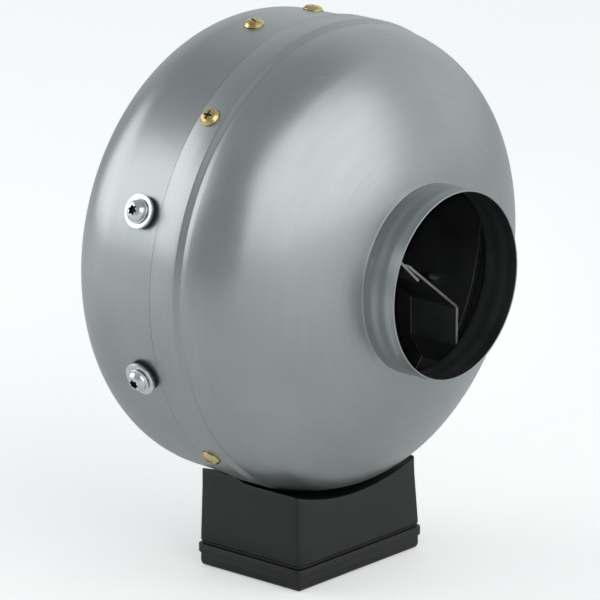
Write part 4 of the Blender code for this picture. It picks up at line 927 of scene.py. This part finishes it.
# %% Box sizes
box_low, box_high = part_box("terminal_box")
lid_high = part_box("box_lid")[1]
BOX_DRAFT = 0.0014
BOX_FRONT_LEAN = 0.0018
BOX_WALL = 0.0025
BOX_CORNER = 0.0026
BOX_CROWN = axis_point.z - INLET_WALL_RADIUS - CLEAR
FRONT_DROP = 0.0013
SADDLES = (0.149, 0.1316)
STEP_PLACES = (0.0189, 0.0243)
box_half = (box_high.x - box_low.x) / 2
box_front, box_back = box_low.y, box_high.y


LEAST_CORNER = 0.0002


def outline(half, front, back, corner, steps=5):
    """A rectangle with round corners, as (x, y) points."""
    corner = max(corner, LEAST_CORNER)
    points = []
    for x, y, start in ((half, back, 0), (-half, back, 90), (-half, front, 180), (half, front, 270)):
        center = (x - corner if x > 0 else x + corner, y - corner if y == back else y + corner)
        points += arc(center, corner, start, start + 90, steps)
    return points


def fine_outline(half, front, back, corner, steps=9):
    """The same, with points along its straight sides too, so that a curved top can follow them."""
    corner = max(corner, LEAST_CORNER)
    corners = outline(half, front, back, corner)
    points = []
    for a, b in zip(corners, corners[1:] + corners[:1]):
        points.append(a)
        if (Vector(b) - Vector(a)).length > corner * 2:
            points += [(a[0] + (b[0] - a[0]) * k / steps, a[1] + (b[1] - a[1]) * k / steps)
                       for k in range(1, steps)]
    return points


def roof_height(x, y):
    """Height of the box's top, which follows the casing."""
    share = (y - axis_point.y - STEP_PLACES[0]) / (STEP_PLACES[1] - STEP_PLACES[0])
    share = min(max(share, 0), 1)
    share = share * share * (3 - 2 * share)
    front = BOX_CROWN - FRONT_DROP + SADDLES[0] - sqrt(SADDLES[0] ** 2 - x * x)
    back = BOX_CROWN + SADDLES[1] - sqrt(SADDLES[1] ** 2 - x * x)
    return front + (back - front) * share


# %% Box and lid
def box_ring(inset, level, below=0.0):
    """A ring on the box's wall; level runs from 0 at the rim to 1 at the roof."""
    foot = box_low.z
    points = []
    for x, y in fine_outline(box_half - inset, box_front + inset, box_back - inset, BOX_CORNER - inset):
        height = foot + (roof_height(x, y) - below - foot) * level
        rise = (height - foot) / (BOX_CROWN - foot)
        lean = 1 - min(rise, 1) * BOX_DRAFT / box_half
        forward = max(0, (box_back - y) / (box_back - box_front))
        points.append((x * lean, y + forward * BOX_FRONT_LEAN * min(rise, 1), height))
    return points


def roof_ring(inset, share, below):
    """A ring on the roof, drawn in towards the middle."""
    middle = (box_front + box_back) / 2
    edge = box_ring(inset, 1, below)
    return [(x * share, middle + (y - middle) * share,
             roof_height(x * share, middle + (y - middle) * share) - below) for x, y, z in edge]


def build_box():
    shares = (0.06, 0.25, 0.45, 0.65, 0.82, 0.94)
    rings = [roof_ring(BOX_WALL, share, BOX_WALL) for share in shares]
    rings += [box_ring(BOX_WALL, level, BOX_WALL) for level in (1, 0.5, 0.02)]
    rings += [box_ring(BOX_WALL - 0.0003, 0), box_ring(0.0003, 0), box_ring(0, 0.01)]
    rings += [box_ring(0, level) for level in (0.25, 0.5, 0.75, 0.9)]
    rings += [box_ring(0, 1, 0.0007), box_ring(0.0002, 1, 0.0002), box_ring(0.0007, 1, 0)]
    rings += [roof_ring(0.0007, share, 0) for share in shares[::-1]]
    return lofted("terminal_box_shell", rings, smooth_angle=42)


LIP, LIP_HEIGHT, LID_FLOOR, LID_ROUND = 0.0011, 0.0048, 0.003, 0.0028


def lid_ring(inset, height):
    """A ring on the lid; a negative inset stands proud of the box."""
    half, front, back = box_half - inset, box_front + inset, box_back - inset
    return [(x, y, height) for x, y in outline(half, front, back, BOX_CORNER - inset)]


def build_lid():
    top, step = lid_high.z, lid_high.z - LIP_HEIGHT
    spots = [(0.030, LID_FLOOR), (0.0036, LID_FLOOR), (0.0027, LID_FLOOR + 0.0009),
             (0.0026, top - 0.0003), (0.0023, top), (-LIP + 0.0005, top),
             (-LIP + 0.00015, top - 0.00015), (-LIP, top - 0.0005), (-LIP, step + 0.0003),
             (-LIP + 0.0003, step), (0.0001, step), (0, step - 0.0002), (0, LID_ROUND)]
    spots += [(LID_ROUND * (1 - cos(radians(turn))), LID_ROUND * (1 - sin(radians(turn))))
              for turn in (18, 36, 54, 72, 90)]
    spots += [(0.012, 0), (0.030, 0)]
    lid = lofted("terminal_box_lid", [lid_ring(*spot) for spot in spots], smooth_angle=42)
    cutters = []
    for center, low, high in lid_spots:
        spot = Matrix.Translation((center.x, center.y, 0))
        room = LID_HEAD[0] + CLEAR
        depth = low.z + LID_HEAD[1] + CLEAR
        cutters.append(turned("room", [(0, -0.002), (room + 0.0004, -0.002), (room, 0.0003),
                                       (room, depth), (0, depth)], spot, 48))
    return carved(lid, cutters)


wear(build_box(), "housing", [box_black], "terminal_box", slot="black_plastic")
wear(build_lid(), "housing", [box_black], "box_lid", slot="black_plastic")

# %% [markdown]
# ## The cable gland
#
# The supply cable comes in through a gland on the box's far side: a hexagon that is screwed into
# the wall, and a nut that squeezes a rubber seal round the cable. The nut has grip ribs. One rib
# is made, and a Geometry Nodes tree repeats it round the nut.

# %% Tree that repeats a piece round an axis
def round_axis(tree, given, piece):
    """Repeats a piece round local Z, joins the copies to the base and gives all one finish."""
    spots = node(tree, "GeometryNodeMeshLine", {"Count": given["Count"], "Offset": (0, 0, 0)})
    number = node(tree, "GeometryNodeInputIndex").outputs[0]
    turn = calc(tree, "MULTIPLY", calc(tree, "DIVIDE", number, given["Count"]), 2 * pi)
    rotation = node(tree, "ShaderNodeCombineXYZ", {"Z": turn}).outputs[0]
    copies = node(tree, "GeometryNodeInstanceOnPoints",
                  {"Points": spots.outputs[0], "Instance": piece, "Rotation": rotation})
    real = node(tree, "GeometryNodeRealizeInstances", {0: copies.outputs[0]})
    both = node(tree, "GeometryNodeJoinGeometry")
    tree.links.new(given["Base"], both.inputs[0])
    tree.links.new(real.outputs[0], both.inputs[0])
    return node(tree, "GeometryNodeSetMaterial", {"Geometry": both.outputs[0],
                                                  "Material": given["Finish"]}).outputs[0]


def build_round_tree():
    tree, given, end = group("round an axis", "GeometryNodeTree",
                             [("Base", "NodeSocketGeometry", None), ("Piece", "NodeSocketObject", None),
                              ("Count", "NodeSocketInt", 12), ("Finish", "NodeSocketMaterial", None)],
                             [("Geometry", "NodeSocketGeometry")])
    piece = node(tree, "GeometryNodeObjectInfo", {"Object": given["Piece"]}).outputs["Geometry"]
    tree.links.new(round_axis(tree, given, piece), end.inputs[0])
    return tree


round_tree = build_round_tree()

# %% Gland
gland_low, gland_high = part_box("gland_body")
GLAND_INNER, GLAND_HEX, GLAND_NOSE = 0.008, 0.005, 0.010
gland_wall = gland_low.x + GLAND_INNER
GLAND_FRAME = (Matrix.Translation((gland_wall, (gland_low.y + gland_high.y) / 2,
                                   (gland_low.z + gland_high.z) / 2))
               @ Matrix.Rotation(pi / 2, 4, "Y"))
HEX_RADIUS, THREAD_RADIUS, CABLE_BORE = 0.0105, 0.008, 0.005


def build_gland_body():
    """A hexagon whose corners are turned off, with a threaded stem through it."""
    profile = [(HEX_RADIUS * 0.9, CLEAR), (HEX_RADIUS * 1.02, CLEAR + 0.0007),
               (HEX_RADIUS * 1.02, GLAND_HEX - 0.0005), (HEX_RADIUS * 0.9, GLAND_HEX + CLEAR),
               (0.0065, GLAND_HEX + CLEAR), (0.0065, CLEAR)]
    disc = turned("gland_hexagon", profile, sides=96)
    cutters = []
    for k in range(6):
        reach, flat = HEX_RADIUS * 2, HEX_RADIUS * cos(pi / 6)
        square = [(-reach, -0.01), (reach, -0.01), (reach, 0.02), (-reach, 0.02)]
        rings = [[(x, a, z) for a, z in square] for x in (flat, flat + 0.01)]
        side = lofted("side", rings)
        side.data.transform(Matrix.Rotation(pi / 6 + k * pi / 3, 4, "Z"))
        cutters.append(side)
    disc = carved(disc, cutters)
    end = GLAND_HEX + GLAND_NOSE
    threads = []
    pitch = 0.0015
    for k in range(int((end - GLAND_HEX - 0.001) / pitch)):
        threads += [(THREAD_RADIUS - 0.0006, GLAND_HEX + 0.001 + k * pitch),
                    (THREAD_RADIUS, GLAND_HEX + 0.001 + (k + 0.5) * pitch)]
    stem = [(CABLE_BORE, -GLAND_INNER), (THREAD_RADIUS, -GLAND_INNER)] + threads
    stem += [(THREAD_RADIUS - 0.0006, end), (CABLE_BORE, end)]
    return joined("gland_base", [disc, turned("stem", stem, sides=96, smooth_angle=30)])


def build_gland_nut():
    """The nut's body, with one rib that the tree repeats."""
    start, top = GLAND_HEX + 2 * CLEAR, GLAND_HEX + 2 * CLEAR + 0.013
    radius = 0.0097
    profile = rounded([(THREAD_RADIUS + CLEAR, start, 0.0003), (radius, start, 0.0005),
                       (radius, top - 0.004, 0.001), (0.0077, top, 0.0012), (CABLE_BORE, top, 0.0006),
                       (CABLE_BORE, top - 0.0027), (THREAD_RADIUS + CLEAR, top - 0.0027)])
    body = turned("gland_nut_body", profile, sides=96)
    width = 0.0008
    section = [(radius - 0.0004, -width), (0.0101, -width * 0.5), (0.0102, 0), (0.0101, width * 0.5),
               (radius - 0.0004, width)]
    rings = [[(x * s, y * s, z) for x, y in section]
             for s, z in ((0.965, start + 0.0004), (1, start + 0.0012),
                          (1, top - 0.0052), (0.93, top - 0.0038))]
    rib = lofted("rib", rings)
    piece = grown("gland_cap", round_tree, body.data, {"Piece": rib, "Count": 20, "Finish": gland_black})
    bpy.data.objects.remove(rib, do_unlink=True)
    bpy.data.objects.remove(body, do_unlink=True)
    return piece


def build_gland_seal():
    end = GLAND_HEX + GLAND_NOSE
    profile = rounded([(0.0038, end - 0.007, 0.001), (0.0067, end - 0.007), (0.0067, end),
                       (0.0038, end, 0.001)])
    return turned("gland_ring", profile, sides=64)


for made, material, node_name, slot_name in (
        (build_gland_body(), gland_black, "gland_body", "black_plastic"),
        (build_gland_nut(), gland_black, "gland_nut", "black_plastic"),
        (build_gland_seal(), washer_rubber, "gland_seal", "black_rubber")):
    made.data.transform(GLAND_FRAME)
    wear(made, "housing", [material], node_name, slot=slot_name)

# %% [markdown]
# ## The wheel
#
# The wheel has seven blades that curve back, between a flat plate and a coned cover with a hole
# for the bellmouth. A blade follows a rule: its angle falls behind as its radius grows. So the
# whole ring of blades is grown by a tree from its sizes. A flat grid is bent by that rule, is
# given its thickness, and is repeated round the axis.

# %% Wheel sizes
CAN_RADIUS, CAN_START, CAN_LENGTH = 0.036, 0.027, 0.043
WHEEL_RADIUS, WHEEL_PLATE = 0.095, 0.0018
WHEEL_START = CAN_START + 0.0014 + CLEAR
BLADE_INNER, BLADE_SWEEP, BLADE_COUNT, BLADE_THICKNESS = 0.058, 46.0, 7, 0.0015
RIM_HEIGHT = WHEEL_START + WHEEL_PLATE + 0.032
EYE_HEIGHT = RIM_HEIGHT + 0.010


# %% Tree of blades
def build_blade_tree():
    tree, given, end = group("ring of blades", "GeometryNodeTree",
                             [("Base", "NodeSocketGeometry", None), ("Count", "NodeSocketInt", 7),
                              ("Inner Radius", FLOAT, 0.05), ("Outer Radius", FLOAT, 0.1),
                              ("Sweep", FLOAT, 0.8), ("Foot", FLOAT, 0.0), ("Inner Height", FLOAT, 0.04),
                              ("Outer Height", FLOAT, 0.03), ("Thickness", FLOAT, 0.0015),
                              ("Finish", "NodeSocketMaterial", None)],
                             [("Geometry", "NodeSocketGeometry")])
    sheet = node(tree, "GeometryNodeMeshGrid", {"Size X": 1, "Size Y": 1, "Vertices X": 22,
                                                "Vertices Y": 5})
    spot = node(tree, "ShaderNodeSeparateXYZ", {0: node(tree, "GeometryNodeInputPosition").outputs[0]})
    share = calc(tree, "ADD", spot.outputs["X"], 0.5)
    level = calc(tree, "ADD", spot.outputs["Y"], 0.5)

    def between(low, high, factor):
        return calc(tree, "ADD", low, calc(tree, "MULTIPLY", calc(tree, "SUBTRACT", high, low), factor))

    radius = between(given["Inner Radius"], given["Outer Radius"], share)
    angle = calc(tree, "MULTIPLY", given["Sweep"], calc(tree, "POWER", share, 1.15))
    height = between(given["Foot"], between(given["Inner Height"], given["Outer Height"], share), level)
    bent = node(tree, "ShaderNodeCombineXYZ",
                {"X": calc(tree, "MULTIPLY", radius, calc(tree, "COSINE", angle)),
                 "Y": calc(tree, "MULTIPLY", radius, calc(tree, "SINE", angle)), "Z": height})
    blade = node(tree, "GeometryNodeSetPosition", {"Geometry": sheet.outputs[0],
                                                  "Position": bent.outputs[0]})
    thick = node(tree, "GeometryNodeExtrudeMesh", {"Mesh": blade.outputs[0], "Individual": False,
                                                   "Offset Scale": given["Thickness"]}, mode="FACES")
    back = node(tree, "GeometryNodeFlipFaces", {0: blade.outputs[0]})
    closed = node(tree, "GeometryNodeJoinGeometry")
    tree.links.new(thick.outputs[0], closed.inputs[0])
    tree.links.new(back.outputs[0], closed.inputs[0])
    merged = node(tree, "GeometryNodeMergeByDistance", {0: closed.outputs[0], "Distance": 0.00001})
    tree.links.new(round_axis(tree, given, merged.outputs[0]), end.inputs[0])
    return tree


# %% Wheel and cover
def build_wheel():
    start, end = WHEEL_START, WHEEL_START + WHEEL_PLATE
    hub = CAN_RADIUS + 0.0006
    profile = rounded([(hub, start, 0.0002), (WHEEL_RADIUS, start, 0.0006), (WHEEL_RADIUS, end, 0.0006),
                       (hub + 0.0035, end, 0.0006), (hub + 0.0030, end + 0.0022, 0.0004),
                       (hub, end + 0.0022, 0.0004)])
    plate = turned("wheel_plate", profile, sides=160)
    sizes = {"Count": BLADE_COUNT, "Inner Radius": BLADE_INNER, "Outer Radius": WHEEL_RADIUS - 0.001,
             "Sweep": -radians(BLADE_SWEEP), "Foot": start + WHEEL_PLATE / 2, "Inner Height": EYE_HEIGHT,
             "Outer Height": RIM_HEIGHT, "Thickness": BLADE_THICKNESS, "Finish": wheel_grey}
    wheel = grown("fan_wheel", build_blade_tree(), plate.data, sizes)
    bpy.data.objects.remove(plate, do_unlink=True)
    wheel.data.transform(FAN_FRAME)
    tidy(wheel.data)
    return wheel


def build_cover():
    collar = THROAT_RADIUS + BELL_SHEET + 0.002
    line = rounded([(WHEEL_RADIUS, RIM_HEIGHT), (BLADE_INNER, EYE_HEIGHT, 0.006),
                    (collar, BELL_TIP + 0.004)], closed=False, steps=10)
    return turned("fan_wheel_cover", sheet_loop(line, -0.0015)[0], FAN_FRAME, 160)


wear(build_wheel(), "impeller", [wheel_grey], "impeller_wheel", slot="impeller_plastic")
wear(build_cover(), "impeller", [wheel_grey], "impeller_shroud", slot="impeller_plastic")

# %% [markdown]
# ## The motor
#
# The motor is inside out: its drawn steel can turns, and carries the wheel on its flange. The
# can, the cast flange with its bearing tube, the bearings, the shaft and its clip are all turned
# parts. Their sizes are read from the frame's boxes, and their corners are rounded.

# %% Can
def build_can():
    end, wall = CAN_START + CAN_LENGTH, 0.0012
    inside, bore = CAN_RADIUS - wall, 0.0043
    profile = [(bore, end, 0.0004), (0.0075, end, 0.0006), (0.0085, end - 0.0006, 0.0006),
               (0.0150, end - 0.0006, 0.0008), (0.0165, end, 0.0008), (CAN_RADIUS, end, 0.0038),
               (CAN_RADIUS, CAN_START + 0.0014, 0.0005), (0.042, CAN_START + 0.0014, 0.0005),
               (0.042, CAN_START, 0.0005), (inside, CAN_START, 0.0006), (inside, end - wall, 0.0028),
               (0.009, end - wall, 0.0005), (0.009, end - 0.005, 0.0005), (bore, end - 0.005)]
    return turned("motor_can", rounded(profile, steps=6), FAN_FRAME, 128)


wear(build_can(), "impeller", [rotor_black], "rotor_can", slot="rotor_paint")


# %% Cast flange, bearings, shaft and clip
def radii(name):
    """Outer radius and the two places along the axis of a turned node."""
    low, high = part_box(name)
    return (high.x - low.x) / 2, low.y - axis_point.y, high.y - axis_point.y


def build_flange():
    radius, start, end = radii("stator_flange")
    bore, tube, thickness = 0.0113, MOTOR_HOLE_RADIUS, 0.0067
    profile = [(bore, start, 0.0005), (radius, start, 0.0006), (radius, start + thickness, 0.001),
               (tube, start + thickness, 0.001), (tube, end, 0.0004), (bore, end, 0.0004)]
    return turned("motor_flange", rounded(profile), FAN_FRAME, 96)


def build_ring(name, node_name, bore, edge):
    radius, start, end = radii(node_name)
    profile = [(bore, start, edge), (radius, start, edge), (radius, end, edge), (bore, end, edge)]
    return turned(name, rounded(profile), FAN_FRAME, 96)


def build_bearing_outer(name, node_name):
    """The outer ring, with a pressed shield that reaches in almost to the inner ring."""
    radius, start, end = radii(node_name)
    edge, bore, shield = 0.0004, radius - 0.0024, 0.0070
    profile = [(bore, start, 0.0002), (radius, start, edge), (radius, end, edge), (bore, end, 0.0002),
               (bore, end - 0.0006), (shield, end - 0.0006), (shield, end - 0.0009),
               (bore, end - 0.0009), (bore, start + 0.0009), (shield, start + 0.0009),
               (shield, start + 0.0006), (bore, start + 0.0006)]
    return turned(name, rounded(profile), FAN_FRAME, 96)


def build_shaft():
    radius, start, end = radii("rotor_shaft")
    profile = [(0, start), (radius, start, 0.0006), (radius, end, 0.0006), (0, end)]
    return turned("motor_shaft", rounded(profile), FAN_FRAME, 64)


wear(build_flange(), "housing", [cast_aluminium], "stator_flange", slot="motor_aluminium")
for k in (1, 2):
    outer = build_bearing_outer(f"bearing_{k}_outer_ring", f"bearing_outer_{k}")
    wear(outer, "housing", [ground_steel], f"bearing_outer_{k}", slot="ground_steel")
    inner = build_ring(f"bearing_{k}_inner_ring", f"bearing_inner_{k}", 0.0041, 0.0003)
    wear(inner, "impeller", [ground_steel], f"bearing_inner_{k}", slot="ground_steel")
wear(build_shaft(), "impeller", [ground_steel], "rotor_shaft", slot="ground_steel")
clip = build_ring("shaft_ring", "shaft_clip", 0.0041, 0.0002)
wear(clip, "impeller", [zinc], "shaft_clip", slot="zinc")

# %% [markdown]
# ## The motor's lead
#
# A short sheathed lead runs from the cast flange down through a rubber grommet in the casing to
# the terminals. It is a tube along the route that the frame's lead follows, on a smooth curve.

# %% Lead and grommet
def build_lead():
    low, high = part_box("motor_lead")
    radius = (high.x - low.x) / 2
    first, last = low.y + radius, high.y - radius
    grommet_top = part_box("casing_grommet")[1].z
    start, bend = high.z - 0.008, grommet_top + 0.012
    route = [(first, high.z), (first, start)]
    for k in range(1, 13):
        share = k / 12
        eased = share * share * (3 - 2 * share)
        route.append((first + (last - first) * eased, start + (bend - start) * share))
    route += [(last, grommet_top), (last, low.z)]
    rings = [[(radius * cos(t), y + radius * sin(t), z) for t in np.arange(24) * (2 * pi / 24)]
             for y, z in route]
    return lofted("motor_lead_tube", rings)


def build_grommet():
    low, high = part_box("casing_grommet")
    center = Matrix.Translation(((low.x + high.x) / 2, (low.y + high.y) / 2, 0))
    lip = (high.x - low.x) / 2
    bore, neck = 0.0028, lip - 0.0022
    profile = [(bore, low.z), (neck, low.z), (neck, high.z - 0.0012), (lip, high.z - 0.0012, 0.0004),
               (lip, high.z, 0.0006), (bore, high.z, 0.0006)]
    return turned("lead_grommet", rounded(profile), center, 64)


wear(build_lead(), "housing", [lead_sheath], "motor_lead", slot="lead_sheath")
wear(build_grommet(), "housing", [washer_rubber], "casing_grommet", slot="black_rubber")

# %% [markdown]
# ## Parts that stay as they are
#
# Some parts are the right shape already, because they are flat, or are shut in the motor or the
# box. They stay, and only get a better finish.

# %% Finishes of the parts that stay
kept = {
    "stator_core": laminations, "winding_outlet_end": winding, "winding_inlet_end": winding,
    "rotor_cage": cast_aluminium, "terminal_block": terminal_grey, "capacitor": capacitor_grey,
    "capacitor_clip": gland_black, "lid_gasket": washer_rubber, "box_screw_1": zinc, "box_screw_2": zinc,
}
for name, material in kept.items():
    part = frame["nodes"][name]
    for place in part.material_slots:
        place.material = material
print("kept:", len(kept), "nodes")

# %% [markdown]
# ## Floor and light
#
# The fan stands on a pale floor. Metal shows what surrounds it, so the surroundings matter as much
# as the lamps: a dim room that grows lighter behind the fan, and two large soft lamps, which draw
# the shape of the domes. A narrow lamp at the camera shows the support inside the outlet.

# %% Floor
floor = put(bpy.data.objects.new("floor", bpy.data.meshes.new("floor")))
FLOOR_HALF = 30
FLOOR_LIFT = 0.34
floor.data.from_pydata([(x * FLOOR_HALF, y * FLOOR_HALF, 0)
                        for x, y in ((-1, -1), (1, -1), (1, 1), (-1, 1))], [], [(0, 1, 2, 3)])
floor_white, floor_tree, floor_shader = finish("floor white", ((0.88, 0.88, 0.88), (0.90, 0.90, 0.90)),
                                               (0.75, 0.85), patch=0.5, grain=0.002, depth=0.00001)
seen = node(floor_tree, "ShaderNodeLightPath").outputs["Is Camera Ray"]
floor_tree.links.new(calc(floor_tree, "MULTIPLY", seen, FLOOR_LIFT),
                      floor_shader.inputs["Emission Strength"])
floor_shader.inputs["Emission Color"].default_value = (1, 1, 1, 1)
floor.data.materials.append(floor_white)


# %% Light
AIM_HEIGHT = 0.16


def lamp(name, place, size, power, color=(1, 1, 1)):
    """A large soft lamp that faces the fan."""
    data = bpy.data.lights.new(name, "AREA")
    data.shape = "RECTANGLE"
    data.size, data.size_y = size
    data.energy = power
    data.color = color
    thing = put(bpy.data.objects.new(name, data))
    thing.location = place
    toward = Vector((0, 0, AIM_HEIGHT)) - Vector(place)
    thing.rotation_euler = toward.to_track_quat("-Z", "Y").to_euler()
    return thing


def around(turn, rise, distance=3.2):
    """A place seen from the fan: turn is measured from -Y towards +X, rise from level, in degrees."""
    flat = distance * cos(radians(rise))
    return flat * sin(radians(turn)), -flat * cos(radians(turn)), AIM_HEIGHT + distance * sin(radians(rise))


def build_studio():
    """A dim room that is lighter behind the fan; the camera itself sees a white backdrop."""
    world = bpy.data.worlds.new("studio")
    scene.world = world
    world.use_nodes = True
    tree = world.node_tree
    direction = node(tree, "ShaderNodeTexCoord").outputs["Generated"]
    away = Vector(around(95, -8)).normalized()
    behind = node(tree, "ShaderNodeVectorMath", {0: direction, 1: away}, operation="DOT_PRODUCT")
    level = node(tree, "ShaderNodeMapRange", {"Value": behind.outputs["Value"], "From Min": 0.1,
                                              "From Max": 0.9}, interpolation_type="SMOOTHSTEP")
    room = blend_colors(tree, level.outputs[0], (0.38, 0.41, 0.42), (0.80, 0.83, 0.84))
    seen = node(tree, "ShaderNodeLightPath").outputs["Is Camera Ray"]
    tree.links.new(blend_colors(tree, seen, room, (1.0, 1.0, 1.0)),
                   tree.nodes["Background"].inputs["Color"])


build_studio()
lamp("front_window", around(0, 27), (4.5, 2.8), 53, (1, 0.98, 0.95))
lamp("side_window", around(-148, 20, 1.7), (1.6, 1.15), 9.5, (1, 0.99, 0.97))

snoot = bpy.data.lights.new("snoot", "SPOT")
snoot.energy = 170
snoot.spot_size = radians(1.5)
snoot.spot_blend = 0.4
snoot.shadow_soft_size = 0.05
snoot_lamp = put(bpy.data.objects.new("snoot", snoot))
snoot_lamp.location = camera.location
outlet_mouth = Vector((0, outlet_low.y, axis_point.z))
snoot_lamp.rotation_euler = (outlet_mouth - camera.location).to_track_quat("-Z", "Y").to_euler()
scene.view_settings.view_transform = "Standard"
